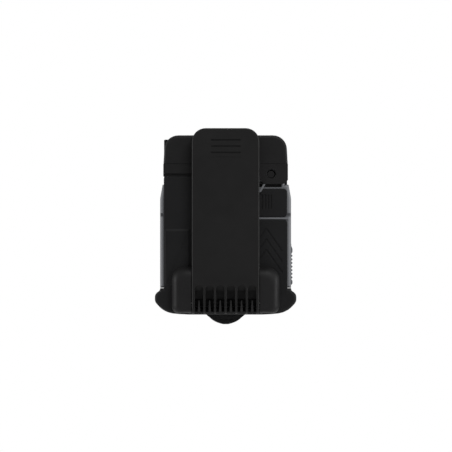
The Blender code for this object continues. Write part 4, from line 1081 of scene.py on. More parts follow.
@dataclass
class RubberBoot:
    """The black rubber that wraps the case's foot and covers its back."""

    rail: float = 33.4
    cheek: Sequence[tuple[float, float]] = (
        (18.6, 0.0),
        (23.5, 0.22),
        (27.2, 0.6),
        (29.2, 1.1),
        (30.4, 1.6),
        (31.4, 2.12),
        (32.25, 2.65),
        (33.0, 3.25),
        (33.9, 4.1),
        (34.75, 5.0),
        (35.4, 5.75),
        (35.8, 6.4),
        (36.03, 7.1),
        (36.1, 7.9),
        (36.1, 9.0),
        (35.98, 9.8),
        (35.68, 10.5),
        (35.1, 11.2),
        (34.25, 11.8),
        (33.65, 12.35),
    )
    cheek_top: float = 13.4
    rim: float = 1.5
    skin_rim: float = 0.4
    skin_in: float = 12.0
    half_width: float = 31.55
    wing_foot: float = 9.4  # where the wings leave the bumper
    left_top: float = 70.5
    right_top: float = 48.4
    inner: float = -15.9  # where the right wing ends, beside the clip
    floor: float = 2.3
    room_inset: float = 1.5  # how far the room for the case stands in from the rails
    room_corner: float = 4.5
    window: tuple[float, float, float, float] = (-16.3, 3.0, 16.3, 21.6)  # the hole for the clip's base
    crease: float = 43.2  # where the lower part of the left wing starts to stand proud
    crease_rise: float = 0.45
    crease_edge: float = 1.0  # width of the slope that catches the light
    crease_foot: tuple[float, float] = (17.9, 14.6)  # lower inner corner of the raised part
    chevrons: tuple[tuple[float, float], ...] = ((-20.6, 44.0), (-20.6, 38.6), (-20.6, 33.2))
    chevron_reach: tuple[float, float] = (8.2, 11.6)
    chevron_short: float = 0.38  # the shorter arm's share of the longer one
    groove: float = 0.42  # half width of the grip grooves
    groove_depth: float = 0.32
    pad_lift: float = 0.3
    pad_shoulder: tuple[float, float] = (-19.0, 59.8)  # where the pad's slanting corner starts and ends
    pad_lines: tuple[float, ...] = (-18.6, -20.3, -21.8, -23.2)
    line: tuple[float, float, float] = (0.36, 54.0, 61.2)  # a grip line: half width, foot and top
    line_depth: float = 0.42

    def chevron(self, apex: tuple[float, float], face: float) -> list[Form]:
        """Cutters for one chevron of the grip relief, as two slanting grooves that meet at its apex.

        Args:
            apex: (x, z) where the two grooves meet.
            face: the rubber's face.

        Returns:
            One cutter for each groove.
        """
        made = []
        for side, share in ((-1, 1.0), (1, self.chevron_short)):
            along = Vector((side * self.chevron_reach[0], -self.chevron_reach[1])) * share
            across = Vector((-along.y, along.x)).normalized() * self.groove
            start = Vector(apex)
            corners = [start - across, start + along - across, start + along + across, start + across]
            if (corners[1] - corners[0]).cross(corners[2] - corners[1]) < 0:
                corners.reverse()
            outline = rounded([(point.x, point.y, self.groove * 0.9) for point in corners])
            made.append(Form.well(outline, face - self.groove_depth, face, 0.15))
        return made

    def wings(self) -> Outline:
        """The two wings seen from behind, which are one plate of rubber with a step in its top.

        Returns:
            The outline's points.
        """
        return rounded(
            [
                (-self.half_width, self.wing_foot, 0.0),
                (self.half_width, self.wing_foot, 0.0),
                (self.half_width, self.left_top, 1.2),
                (self.inner, self.left_top, 1.2),
                (self.inner, self.right_top, 0.6),
                (-self.half_width, self.right_top, 2.0),
            ]
        )

    def boot(self) -> Form:
        """The boot: bumper, sole and the two wings over the case's back.

        Returns:
            The boot.
        """
        low, high = Datum.span("rear_boot")
        face = high.y
        cheek = [(*point, 0.0) for point in (*self.cheek, (self.rail, self.cheek_top))]
        bumper = Form.slab(mirrored(cheek), low.y, face, (self.rim, self.rim))
        bumper.join(Form.slab(self.wings(), self.skin_in, face, (0.0, self.skin_rim)))
        step = rectangle(*self.crease_foot, self.half_width - 0.2, self.crease + 0.5, 1.1)
        top = face + self.crease_rise
        slope = [(0.0, face - 0.8), (0.0, face + 0.01), (self.crease_edge, top)]
        bumper.join(Form.layered(step, [*slope, (self.crease_edge + 0.2, top + 0.001)]))
        foot = self.rail - self.room_inset
        room = rectangle(-foot, self.floor, foot, FAR, self.room_corner)
        port_low, port_high = Datum.span("charge_port")
        opening = rectangle(port_low.x - GAP, port_low.y - 0.5, port_high.x + GAP, port_high.y + 0.8, 0.6)
        bumper.cut(
            Form.slab(room, Datum.span("front_case")[0].y - GAP, self.skin_in),
            Form.slab(rectangle(*self.window, 1.5), self.skin_in - PAST, face + PAST),
            Form.slab(opening, -PAST, self.floor + PAST, axis="Z"),
        )
        grooves = [groove for apex in self.chevrons for groove in self.chevron(apex, face)]
        return bumper.cut(*grooves)

    def pad(self) -> Form:
        """The small pad above the right wing, with upright grip lines.

        Returns:
            The pad.
        """
        low, high = Datum.span("small_pad")
        top = high.z + self.pad_lift
        outline = rounded(
            [
                (high.x, low.z, 0.8),
                (high.x, self.pad_shoulder[1], 1.0),
                (self.pad_shoulder[0], top, 1.0),
                (low.x, top, 2.0),
                (low.x, low.z, 2.0),
            ]
        )
        pad = Form.slab(outline, low.y, high.y, (0.0, self.skin_rim))
        half, foot, head = self.line
        lines = []
        for x in self.pad_lines:
            line = rectangle(x - half, foot, x + half, head, 0.34)
            lines.append(Form.well(line, high.y - self.line_depth, high.y, 0.12))
        return pad.cut(*lines)

    def build(self) -> None:
        """Makes the boot and the small pad."""
        self.boot().finished("boot", Finish.RUBBER, stands_for=["rear_boot"])
        self.pad().finished("grip_pad", Finish.RUBBER, stands_for=["small_pad"])


@dataclass
class UpperHousing:
    """The black band and the cap over the sensors."""

    neck: float = 30.2  # half width of the case's neck inside the band
    skin_in: float = 12.0
    chamfer_foot: tuple[float, float] = (-19.8, 66.6)
    chamfer_top: tuple[float, float] = (-16.8, 69.6)
    corner: float = 3.0
    high: float = 72.0  # underside of the band on the left
    lip_low: float = 70.55
    lip: float = 0.12  # how far the band's lip stands over the rubber
    lip_end: float = -15.9
    recess: float = 2.3
    plug_face: float = 12.7
    plug_radius: float = 1.82
    plug_shift: float = 0.3
    shade_plate: tuple[float, float, float, float] = (-28.4, 65.3, -16.6, 67.3)  # a black plate at the floor of the groove under the band, put there as painted shade
    shade_plate_floor: float = 10.0
    shade_plate_walls: tuple[float, float] = (0.8, 0.6)  # thickness of that black plate and of the web that carries it
    cap_wall: float = 1.5
    cap_corner: float = 7.2
    cap_taper: float = 0.9  # how much narrower the cap is at its top
    cap_rim: float = 1.3
    seam: float = 0.07  # half of the fine line between band and cap

    def band(self) -> Form:
        """The band, which is deeper on the right, with the upper case screw's recess.

        Returns:
            The band.
        """
        low, high = Datum.span("upper_band")
        top = self.seam_height() - self.seam
        outline = rounded(
            [
                (low.x, low.z, self.corner),
                (*self.chamfer_foot, 0.9),
                (*self.chamfer_top, 0.9),
                (self.chamfer_top[0], self.high, 0.5),
                (high.x, self.high, 0.0),
                (high.x, top, 0.0),
                (low.x, top, 0.0),
            ]
        )
        band = Form.slab(outline, self.skin_in, high.y, (0.0, 0.12))
        inside, lip = self.neck + GAP, self.skin_in + self.lip
        sill = rectangle(self.lip_end, self.lip_low, inside + 0.5, self.high + 1.0)
        band.join(
            Form.slab(rectangle(low.x, low.z + 2.0, -inside, top), low.y, self.skin_in + 0.5),
            Form.slab(rectangle(inside, self.lip_low, high.x, top), low.y, lip),
            Form.slab(sill, self.skin_in, lip),
        )
        # A black plate set into the groove under the band: painted shade where the groove falls dark.
        left, bottom, right, top = self.shade_plate
        plate, web = self.shade_plate_walls
        band.join(
            Form.slab(rectangle(left, bottom, right, top), self.shade_plate_floor, self.shade_plate_floor + plate),
            Form.slab(rectangle(left, top - web, right, top), self.shade_plate_floor, self.skin_in + 0.5),
        )
        hole = circle(self.recess, Datum.middle("case_screw_upper_right"))
        return band.cut(Form.well(hole, self.skin_in - 0.4, high.y, 0.12))

    def plug(self) -> Form:
        """The little plug that closes the recess over the upper case screw.

        Returns:
            The plug.
        """
        x, z = Datum.middle("case_screw_upper_right")
        centre = (x + self.plug_shift, z - self.plug_shift)
        foot = Datum.span("case_screw_upper_right")[1].y + 0.1
        return Form.slab(circle(self.plug_radius, centre), foot, self.plug_face, (0.1, 0.15))

    def cap(self) -> Form:
        """The cap, a rounded hood that is open at the front.

        Returns:
            The cap.
        """
        low, high = Datum.span("sensor_cap")
        foot, wall, corner = self.seam_height() + self.seam, self.cap_wall, self.cap_corner
        hood = mirrored([(high.x, foot - 2 * PAST, 0.0), (high.x - self.cap_taper, high.z, corner)])
        cap = Form.slab(hood, low.y, high.y, (0.0, self.cap_rim))
        below = rectangle(-high.x - PAST, foot - 3 * PAST, high.x + PAST, foot)
        cap.cut(Form.slab(below, low.y - PAST, high.y + PAST))
        shoulder = (high.x - self.cap_taper - wall, high.z - wall, corner - wall)
        inner = mirrored([(high.x - wall, foot - PAST, 0.0), shoulder])
        return cap.cut(Form.slab(inner, low.y - PAST, high.y - wall))

    def seam_height(self) -> float:
        """The height of the line between band and cap."""
        return (Datum.span("upper_band")[1].z + Datum.span("sensor_cap")[0].z) / 2

    def build(self) -> None:
        """Makes the band and the cap."""
        self.band().finished("housing_band", Finish.HOUSING, stands_for=["upper_band"])
        self.plug().finished("screw_plug", Finish.HOUSING)
        self.cap().finished("sensor_hood", Finish.HOUSING, stands_for=["sensor_cap"])


# ---- Belt clip -----------------------------------------------------------------------------------


@dataclass
class BeltClip:
    """The belt clip: an arm on a pin, and the base that the pin and its springs sit in."""

    rows: RowTree
    edge: float = 0.7
    corner: float = 7.0
    trim: float = 0.2  # how much narrower the arm is than its channel allows
    gap_face: float = 18.5  # the arm's inner face
    knuckle: float = 3.6
    knuckle_room: float = 0.4
    lip_foot: float = 86.0  # where the lip that closes the belt gap starts
    lip_end: float = 94.0
    pin: tuple[float, float] = (17.5, 4.0)
    pin_radius: float = 0.8
    pin_hole: float = 23.3  # half length of the pin's hole in the base
    grip_rows: tuple[float, ...] = (89.0, 85.7, 82.6)
    faint_row: float = 80.2
    grip_half_length: float = 7.6
    grip_half_width: float = 0.4
    grip_depth: float = 0.5
    faint_depth: float = 0.1
    slots: int = 6
    pitch: float = 5.42
    slot: float = 4.3
    slot_top: float = 15.1
    rib: tuple[tuple[float, float], ...] = ((0.68, 0.9), (0.62, 2.0), (0.3, 7.2))  # half width at each height
    rib_face: tuple[float, float] = (20.7, 18.8)  # the ribs' face at their foot and at their top
    ledge: float = 8.0  # where the ramps in the slots end, above the pin
    ramp_start: float = 0.35  # how deep the ramps start
    ramp_foot: float = 12.2  # height at which they are through the arm
    slope: tuple[float, float] = (1.2, 2.6)  # how far behind the arm the base's slope starts and ends
    cavity: float = 13.9  # floor of the room behind the slots
    foot_plate: tuple[float, float, float] = (1.95, 0.7, 1.5)  # a rib's foot: half width, underside, top
    base_half_width: float = 27.5
    plateau: float = 23.2
    base_top: float = 24.3
    plateau_top: float = 18.0
    base_corner: float = 6.5
    base_bottom: float = 0.6
    base_flank: float = 20.6
    base_floor: float = 13.5
    base_lift: float = 2.0  # how far the plateau stops short of the base's foot
    bulge: float = 2.5  # how full the base's rounded flanks are
    base_steps: int = 14  # levels in the rounded flanks
    plug: tuple[float, float, float, float] = (-16.0, 3.3, 16.0, 21.3)  # left, bottom, right and top
    pocket: tuple[float, float, float] = (2.5, 19.0, 22.8)  # a spring's room: radius, start and end
    coil: tuple[float, float] = (1.9, 0.3)  # radius of a spring and of its wire
    coil_ends: tuple[float, float, float] = (17.1, 19.1, 19.6)  # stub's start and end, and the first turn
    coil_climb: float = 0.8  # in one turn
    coil_turns: float = 3.25
    coil_leg: float = 4.6  # the straight end that rests on the base

    def centres(self) -> list[float]:
        """The middle of each slot at the arm's foot."""
        return [(index - (self.slots - 1) / 2) * self.pitch for index in range(self.slots)]

    def side_profile(self) -> Outline:
        """The arm seen from its side: knuckle, plate and the lip that closes the belt gap.

        Returns:
            The outline's points.
        """
        y, z = self.pin
        high = Datum.span("clip_arm")[1]
        lip_face = Datum.span("clip_arm")[0].y
        foot = math.acos((self.gap_face - y) / self.knuckle)
        sweep = math.tau - foot
        turns = [-sweep * step / 44 for step in range(45)]
        profile = [Vector((y + self.knuckle * math.cos(t), z + self.knuckle * math.sin(t))) for t in turns]
        lip = [
            (self.gap_face, self.lip_foot, 1.2),
            (lip_face, 90.2, 0.9),
            (lip_face, 92.0, 0.9),
            (self.gap_face, self.lip_end, 0.8),
            (self.gap_face, high.z + PAST, 0.0),
            (high.y, high.z + PAST, 0.0),
        ]
        return profile + rounded(lip)

    def slot_cutter(self, back: float, face: float) -> Form:
        """A cutter for one slot of the comb, whose end slopes down through the arm.

        Args:
            back: a depth behind the arm.
            face: the arm's outer face.

        Returns:
            The cutter, drawn round the middle plane.
        """
        half, below = self.slot / 2, -PAST - 0.5
        comb = rounded(
            [
                (-half, below, 0.0),
                (half, below, 0.0),
                (half, self.slot_top, self.slot * 0.49),
                (-half, self.slot_top, self.slot * 0.49),
            ]
        )
        ramp = [
            Vector((face + PAST, self.slot_top + PAST)),
            Vector((face - self.ramp_start, self.slot_top)),
            Vector((self.gap_face, self.ramp_foot)),
            Vector((back, self.ramp_foot)),
            Vector((back, -PAST)),
            Vector((face + PAST, -PAST)),
        ]
        cutter = Form.well(comb, self.base_floor - PAST, face, 0.3)
        return cutter.combined([Form.slab(ramp, -half - PAST, half + PAST, axis="X")], "INTERSECT")

    def arm(self) -> Form:
        """The arm with its slotted foot and its thumb grooves.

        Returns:
            The arm.
        """
        low, high = Datum.span("clip_arm")
        half, face = high.x - self.trim, high.y
        arm = Form.slab(self.side_profile(), -half - PAST, half + PAST, axis="X")
        outline = mirrored([(half, -PAST, 0.0), (half, high.z, self.corner)])
        layers = [(0.0, low.y - PAST), (0.0, face - self.edge)]
        for step in range(1, RIM + 2):
            turn = math.pi / 2 * step / (RIM + 1)
            depth = face - self.edge * (1 - math.sin(turn)) - 0.001
            layers.append((self.edge * (1 - math.cos(turn)), depth))
        layers.append((self.edge, face + PAST))
        arm.combined([Form.layered(outline, layers)], "INTERSECT")
        first = (self.centres()[0], 0.0, 0.0)
        cutter = self.slot_cutter(low.y - PAST, face)
        slots = self.rows.repeated(cutter, Finish.CLIP, first, self.slots, (self.pitch, 0.0, 0.0))
        long, wide = self.grip_half_length, self.grip_half_width
        groove = rectangle(-long, -wide, long, wide, 0.38)
        deep = Form.well(groove, face - self.grip_depth, face, 0.12)
        lowest, count = (0.0, 0.0, self.grip_rows[-1]), len(self.grip_rows)
        step = (self.grip_rows[0] - self.grip_rows[-1]) / (count - 1)
        grooves = self.rows.repeated(deep, Finish.CLIP, lowest, count, (0.0, 0.0, step))
        faint = [Vector((point.x, point.y * 0.7 + self.faint_row)) for point in groove]
        hole = Form.rod(self.pin_radius + PIN_PLAY, -half - PAST, half + PAST, "X", self.pin)
        return arm.cut(slots, grooves, Form.well(faint, face - self.faint_depth, face, 0.06), hole)

    def base_ring(self, share: float) -> Outline:
        """One level of the base's outline.

        Args:
            share: how far up the level is, from 0 at the foot to 1 at the plateau.

        Returns:
            The outline's points.
        """
        half = self.base_half_width - (self.base_half_width - self.plateau) * share
        top = self.base_top - (self.base_top - self.plateau_top) * share
        bottom = self.base_bottom + self.base_lift * share
        return mirrored([(half, bottom, 3.6 - share), (half, top, self.base_corner - 1.5 * share)])

    def flanks(self) -> Form:
        """The base's rounded body, before anything is cut from it.

        Returns:
            The body.
        """
        reach = self.base_flank - self.base_floor
        rings, depths = [], []
        for step in range(self.base_steps + 1):
            turn = math.pi / 2 * step / self.base_steps
            height = math.sin(turn) ** (2 / self.bulge)
            rings.append(self.base_ring(1 - max(math.cos(turn), 0.0) ** (2 / self.bulge)))
            depths.append(self.base_floor + reach * height)
        rings.append(shrunk(self.base_ring(1.0), 0.5))
        depths.append(self.base_flank + 0.001)
        return Form.loft(rings, depths)

    def finger(self) -> Form:
        """One wedge-shaped rib that holds the pin behind a slot.

        Returns:
            The rib, drawn round the middle plane.
        """
        foot_face, top_face = self.rib_face
        root, top = self.base_floor - 1.0, self.rib[-1][1] + 0.1
        side = [
            Vector((root, -PAST)),
            Vector((foot_face, -PAST)),
            Vector((foot_face, self.rib[0][1] + PAST)),
            Vector((top_face, top)),
            Vector((root, top)),
        ]
        wedge = mirrored([(half, height, 0.0) for half, height in self.rib])
        finger = Form.slab(wedge, root + 0.1, foot_face + PAST)
        return finger.combined([Form.slab(side, -PAST, PAST, axis="X")], "INTERSECT")

    def base(self) -> Form:
        """The base: two round-backed flanks, the channel between them and the fingers that hold the pin.

        Returns:
            The base.
        """
        y, z = self.pin
        channel = Datum.span("clip_arm")[1].x + GAP - self.trim
        floor = self.gap_face - GAP
        room = self.knuckle + self.knuckle_room
        turns = [math.pi * step / 32 for step in range(33)]
        arc = [Vector((y + room * math.cos(t), z + room * math.sin(t))) for t in turns]
        arc += [Vector((y - room, -PAST)), Vector((y + room, -PAST))]
        behind = [
            Vector((self.cavity, -PAST)),
            Vector((floor + PAST, -PAST)),
            Vector((floor + PAST, self.slot_top)),
            Vector((floor - self.slope[0], self.slot_top - 0.6)),
            Vector((floor - self.slope[1], self.ledge)),
            Vector((self.cavity, self.ledge)),
        ]
        reach = self.pitch * (self.slots - 1) / 2 + self.slot / 2
        plug = Form.slab(rectangle(*self.plug, 1.5), self.base_floor - 1.2, self.base_floor + 0.5)
        base = self.flanks().join(plug)
        trench = rectangle(-channel, -PAST, channel, self.base_top + PAST)
        base.cut(
            Form.slab(trench, floor, self.base_flank + PAST),
            Form.slab(arc, -channel, channel, axis="X"),
            Form.slab(behind, -reach, reach, axis="X"),
        )
        plate_half, under, upper = self.foot_plate
        plate = rectangle(-plate_half, under, plate_half, upper)
        foot = Form.slab(plate, self.base_floor - 0.7, self.rib_face[0] - 0.3, (0.0, 0.2))
        start, step = (self.centres()[0], 0.0, 0.0), (self.pitch, 0.0, 0.0)
        for piece in (self.finger(), foot):
            base.join(self.rows.repeated(piece, Finish.HOUSING, start, self.slots, step))
        hole = self.pin_radius + PIN_PLAY
        base.cut(Form.rod(hole, -self.pin_hole, self.pin_hole, "X", self.pin))
        radius, near, far = self.pocket
        pockets = []
        for side in (-1, 1):
            first, last = sorted((side * near, side * far))
            pockets.append(Form.rod(radius, first, last, "X", self.pin))
            pockets.append(Form.block((first, y - radius, -PAST), (last, y, z)))
        return base.cut(*pockets)

    def build(self) -> None:
        """Makes the arm, the base, the pin and the springs."""
        self.arm().finished("belt_clip_arm", Finish.CLIP, "clip", ["clip_arm"])
        self.base().finished("belt_clip_base", Finish.HOUSING, stands_for=["clip_base"])
        half = Datum.span("clip_pin")[1].x
        pin = Form.slab(circle(self.pin_radius, self.pin, 32), -half, half, (0.2, 0.2), "X")
        pin.finished("hinge_pin", Finish.BLACK_STEEL, stands_for=["clip_pin"])
        for name, side in (("right", -1), ("left", 1)):
            spring, node = self.spring(side), f"clip_spring_{name}"
            spring.finished(f"return_spring_{name}", Finish.STEEL, stands_for=[node])

    def spring(self, side: int) -> Form:
        """One return spring: a stub in the arm, a coil round the pin and a leg in the base.

        Args:
            side: -1 for the right spring and 1 for the left one.

        Returns:
            The spring's wire.
        """
        y, z = self.pin
        radius, wire = self.coil
        near, end, first = self.coil_ends
        steps = 28
        path = [Vector((side * near, y, z + radius)), Vector((side * end, y, z + radius))]
        for step in range(1, round(self.coil_turns * steps) + 1):
            turn = math.pi / 2 + math.tau * step / steps
            along = side * (first + self.coil_climb * step / steps)
            path.append(Vector((along, y + radius * math.cos(turn), z + radius * math.sin(turn))))
        last = path[-1]
        path.append(Vector((last.x, last.y, last.z + self.coil_leg)))
        return Form.wire(path, wire)


# ---- Front ---------------------------------------------------------------------------------------


@dataclass
class FrontPanel:
    """The black front frame with the display, the keys, the alarm lights and the buzzer's ports."""

    rows: RowTree
    corner: float = 8.5
    square_corner: float = 0.6
    overhang: float = 0.3
    rim: float = 0.6
    lip: float = 0.25
    port_pitch: float = 3.0
    port_height: float = 21.0
    port_radius: float = 0.9
    key_corner: float = 3.0
    key_flange: float = 0.9  # how far a key's hidden flange stands out past its pill
    ports: int = 3
    digit: tuple[float, float] = (3.4, 6.2)  # width and height of a numeral on the display
    bar: float = 0.34  # half width of a numeral's bars
    bar_gap: float = 0.45  # how far each bar stops short of the numeral's corners
    columns: tuple[float, ...] = (-10.5, -5.5, 5.5, 10.5)  # middles of the numerals
    row: float = 5.2  # how far each row of numerals lies from the display's middle
    printed: tuple[float, float] = (0.06, 0.02)  # how far a printed mark stands out and reaches in
    flutes: int = 9

    def opening(self, node: str, radius: float, rim: float = 0.0) -> Outline:
        """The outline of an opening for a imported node.

        Args:
            node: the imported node.
            radius: of the opening's corners.
            rim: the flange of the node that stays behind the panel.

        Returns:
            The node's outline, grown by the clearance.
        """
        low, high = Datum.span(node)
        spare = GAP - rim
        return rectangle(low.x - spare, low.z - spare, high.x + spare, high.z + spare, radius)

    def panel(self) -> Form:
        """The frame itself.

        Returns:
            The frame.
        """
        low, high = Datum.span("front_frame")
        half = high.x + self.overhang
        outline = rounded(
            [
                (-half, low.z, 2.0),
                (half, low.z, 2.0),
                (half, high.z, self.square_corner),
                (-half, high.z, self.corner),
            ]
        )
        panel = Form.slab(outline, low.y, high.y, (self.rim * 0.9, 0.0))
        openings = [
            self.opening("display_window", 2.0),
            self.opening("sensor_cover", 3.0),
            self.opening("power_key", self.key_corner, self.key_flange),
            self.opening("menu_key", self.key_corner, self.key_flange),
            self.opening("alarm_light_right", 1.0),
            self.opening("alarm_light_left", 1.0),
        ]
        cutters = [Form.well(outline, high.y + PAST, low.y, self.lip) for outline in openings]
        port = Form.well(circle(self.port_radius), high.y + PAST, low.y, 0.2)
        start = (-self.port_pitch, 0.0, self.port_height)
        step = (self.port_pitch, 0.0, 0.0)
        cutters.append(self.rows.repeated(port, Finish.HOUSING, start, self.ports, step))
        return panel.cut(*cutters)

    def numeral(self, x: float, z: float) -> list[Outline]:
        """The bars of a seven-segment nought.

        Args:
            x: its middle.
            z: its middle.

        Returns:
            The outline of each bar.
        """
        wide, tall = self.digit
        bar, gap, bars = self.bar, self.bar_gap, []
        for across in (-1, 1):
            for up in (-1, 1):
                u, v = x + across * wide / 2, z + up * tall / 4
                bars.append(rectangle(u - bar, v - tall / 4 + gap, u + bar, v + tall / 4 - gap, 0.2))
        for up in (-1, 1):
            v = z + up * tall / 2
            bars.append(rectangle(x - wide / 2 + gap, v - bar, x + wide / 2 - gap, v + bar, 0.2))
        return bars

    def segments(self) -> Form:
        """What the display shows: four readings of two noughts each, and the lines between them.

        Returns:
            The marks, as one solid.
        """
        low, high = Datum.span("lcd_module")
        middle = (low.z + high.z) / 2
        marks = []
        for x in self.columns:
            for z in (middle + self.row, middle - self.row):
                marks += self.numeral(x, z)
        marks += [
            rectangle(-0.12, low.z + 3.0, 0.12, high.z - 3.0),
            rectangle(low.x + 3.5, middle - 0.12, -0.6, middle + 0.12),
            rectangle(0.6, middle - 0.12, high.x - 3.5, middle + 0.12),
        ]
        out, into = self.printed
        shape = bmesh.new()
        for outline in marks:
            shape.from_mesh(Form.slab(outline, low.y - out, low.y + into).mesh)
        return Form.of(shape)

    def build(self) -> None:
        """Makes the frame, the window, the display, the keys and the lights."""
        self.panel().finished("front_panel", Finish.HOUSING, stands_for=["front_frame"])
        low, high = Datum.span("display_window")
        window = Form.slab(rectangle(low.x, low.z, high.x, high.z, 2.0), low.y, high.y, (0.25, 0.0))
        window.finished("display_glass", Finish.WINDOW, stands_for=["display_window"])
        low, high = Datum.span("lcd_module")
        module = Form.slab(rectangle(low.x, low.z, high.x, high.z, 1.0), low.y, high.y, (0.2, 0.2))
        module.finished("display_module", Finish.LCD, stands_for=["lcd_module"])
        self.segments().finished("display_segments", Finish.COMPONENT)
        for node, name, body, mark in (
            ("power_key", "round_dot_key", "power_button", 0.9),
            ("menu_key", "long_bar_key", "menu_button", 2.6),
        ):
            self.key(node, mark).finished(name, Finish.KEY, body, [node])
        for side in ("right", "left"):
            node = f"alarm_light_{side}"
            self.light(node).finished(f"alarm_lens_{side}", Finish.LENS, stands_for=[node])

    def key(self, node: str, mark: float) -> Form:
        """A key: a domed pill with a raised mark for the thumb, over a flange that keeps it in.

        Args:
            node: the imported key.
            mark: half length of its raised mark.

        Returns:
            The key.
        """
        low, high = Datum.span(node)
        flange, face = self.key_flange, low.y
        pill = rectangle(low.x + flange, low.z + flange, high.x - flange, high.z - flange, self.key_corner)
        key = Form.slab(pill, face, high.y, (0.9, 0.0))
        plate = rectangle(low.x, low.z, high.x, high.z, self.key_corner + 0.6)
        x, z = Datum.middle(node)
        bump = rectangle(x - mark, z - 0.6, x + mark, z + 0.6, 0.58)
        return key.join(
            Form.slab(plate, high.y - 0.6, high.y, (0.1, 0.1)),
            Form.slab(bump, face - 0.18, face + 0.5, (0.17, 0.0)),
        )

    def light(self, node: str) -> Form:
        """An alarm lens: a rounded bar with upright flutes, over a light pipe that reaches into the case.

        Args:
            node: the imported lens.

        Returns:
            The lens.
        """
        low, high = Datum.span(node)
        face = low.y
        lens = Form.slab(rectangle(low.x, low.z, high.x, high.z, 1.0), face, face + 1.7, (0.45, 0.0))
        rim = 1.1
        pipe = rectangle(low.x + rim, low.z + rim, high.x - rim, high.z - rim, 0.6)
        lens.join(Form.slab(pipe, face + PAST, high.y))
        pitch = (high.x - low.x - 3.0) / (self.flutes - 1)
        start = (low.x + 1.5, face, (low.z + high.z) / 2)
        flute = Form.slab(rectangle(-0.22, -1.2, 0.22, 1.2, 0.2), -PAST, 0.14)
        return lens.cut(self.rows.repeated(flute, Finish.LENS, start, self.flutes, (pitch, 0.0, 0.0)))


@dataclass
class SensorCover:
    """The slotted cover over the gas sensors, with the filter mat behind it."""

    rows: RowTree
    slot: tuple[float, float] = (3.4, 0.55)  # half length and half height of one slot
    slot_rows: int = 3
    row_pitch: float = 2.2

    def build(self) -> None:
        """Makes the cover and the mat."""
        low, high = Datum.span("sensor_cover")
        outline = mirrored([(high.x, low.z, 1.5), (high.x, high.z, 4.0)])
        cover = Form.slab(outline, low.y, high.y, (0.45, 0.0))
        cans = [Datum.span(f"gas_sensor_{number}") for number in (1, 2, 3, 4)]
        centres = [(can[0].x + can[1].x) / 2 for can in cans]
        height = (cans[0][0].z + cans[0][1].z) / 2
        long, tall = self.slot
        cutter = Form.well(rectangle(-long, -tall, long, tall, 0.5), high.y + PAST, low.y, 0.18)
        start = (centres[0], 0.0, height - self.row_pitch)
        pitch = centres[1] - centres[0]
        along, up = (pitch, 0.0, 0.0), (0.0, 0.0, self.row_pitch)
        slots = self.rows.repeated(cutter, Finish.HOUSING, start, len(cans), along, self.slot_rows, up)
        cover.cut(slots).finished("sensor_grille", Finish.HOUSING, stands_for=["sensor_cover"])
        low, high = Datum.span("sensor_filter")
        mat = Form.slab(rectangle(low.x, low.z, high.x, high.z, 3.5), low.y, high.y)
        mat.finished("filter_mat", Finish.FILTER, stands_for=["sensor_filter"])


# ---- Side key and charging port ------------------------------------------------------------------


@dataclass
class ThumbKey:
    """The grey key in the right rail: two smooth lumps with a row of grip ribs between them."""

    rows: RowTree
    first_rib: float = 18.95
    pitch: float = 1.84
    ribs: int = 7
    rail: float = 33.4
    proud: float = 0.8
    wall: float = 2.9
    back: float = -2.6
    front: float = -8.6
    top: float = 36.2
    rib_radius: float = 0.62
    flange_foot: float = 16.7
    plunger: tuple[float, float, float, float] = (-5.4, 24.4, -3.2, 26.9)  # lower and upper y and z

    def build(self) -> None:
        """Makes the key with its flange and plunger."""
        low, high = Datum.span("side_key")
        face, crown = self.rail + 0.2, self.rail + self.proud
        inner = self.rail - self.wall
        last = self.first_rib + (self.ribs - 1) * self.pitch
        profile = rounded(
            [
                (face, low.z, 0.0),
                (crown, low.z + 0.7, 0.5),
                (crown, self.first_rib - 1.8, 0.5),
                (face, self.first_rib - 0.9, 0.2),
                (face, last + 0.9, 0.2),
                (crown, last + 1.9, 0.5),
                (crown, last + 3.6, 0.5),
                (face, self.top - 1.2, 0.4),
                (face, self.top, 0.2),
                (inner, self.top, 0.0),
                (inner, low.z, 0.0),
            ]
        )
        outline = [Vector((-point.x, point.y)) for point in reversed(profile)]
        key = Form.slab(outline, self.front, self.back, (0.15, 0.15))
        middle = (self.front + self.back) / 2
        long = (self.back - self.front) / 2 - 0.12
        rib = Form.slab(circle(self.rib_radius, sides=20), middle - long, middle + long, (0.25, 0.25))
        start = (-(crown - self.rib_radius), 0.0, self.first_rib)
        key.join(self.rows.repeated(rib, Finish.CASE, start, self.ribs, (0.0, 0.0, self.pitch)))
        reach, foot = 0.9, (-inner - 0.1, self.front - 0.9, self.flange_foot)
        flange = Form.block(foot, (-inner + reach, self.back + reach, high.z), 0.3)
        low_y, low_z, high_y, high_z = self.plunger
        plunger = Form.block((-inner + 0.5, low_y, low_z), (high.x, high_y, high_z), 0.3)
        key.join(flange, plunger).finished("thumb_key", Finish.CASE, "side_button", ["side_key"])


@dataclass
class PortCover:
    """The rubber cover of the charging port, with the tongue that a finger pulls."""

    half: Sequence[tuple[float, float]] = (
        (1.3, -4.96),
        (2.7, -4.62),
        (4.3, -4.08),
        (5.55, -3.5),
        (6.6, -2.85),
        (7.6, -2.05),
        (8.4, -1.3),
        (9.1, -0.75),
        (9.6, -0.4),
        (9.8, -0.03),
    )
    back: float = -0.8
    groove: tuple[float, float, float, float] = (-4.0, -2.9, 4.0, -2.3)  # left, bottom, right and top

    def build(self) -> None:
        """Makes the cover with its plug."""
        low, high = Datum.span("port_cover")
        port_low, port_high = Datum.span("charge_port")
        tongue = Form.slab(mirrored([(*point, 0.0) for point in self.half]), low.y, self.back, (0.3, 0.3))
        top = (port_high.x - 0.4, port_high.y - 0.1, high.z)
        plug = Form.block((port_low.x + 0.4, port_low.y, -0.8), top, 0.5)
        groove = Form.well(rectangle(*self.groove, 0.28), self.back - 0.3, self.back, 0.1)
        tongue.join(plug).cut(groove).finished("port_tongue", Finish.RUBBER, "port_flap", ["port_cover"])


# ---- Screws and inner pieces ---------------------------------------------------------------------


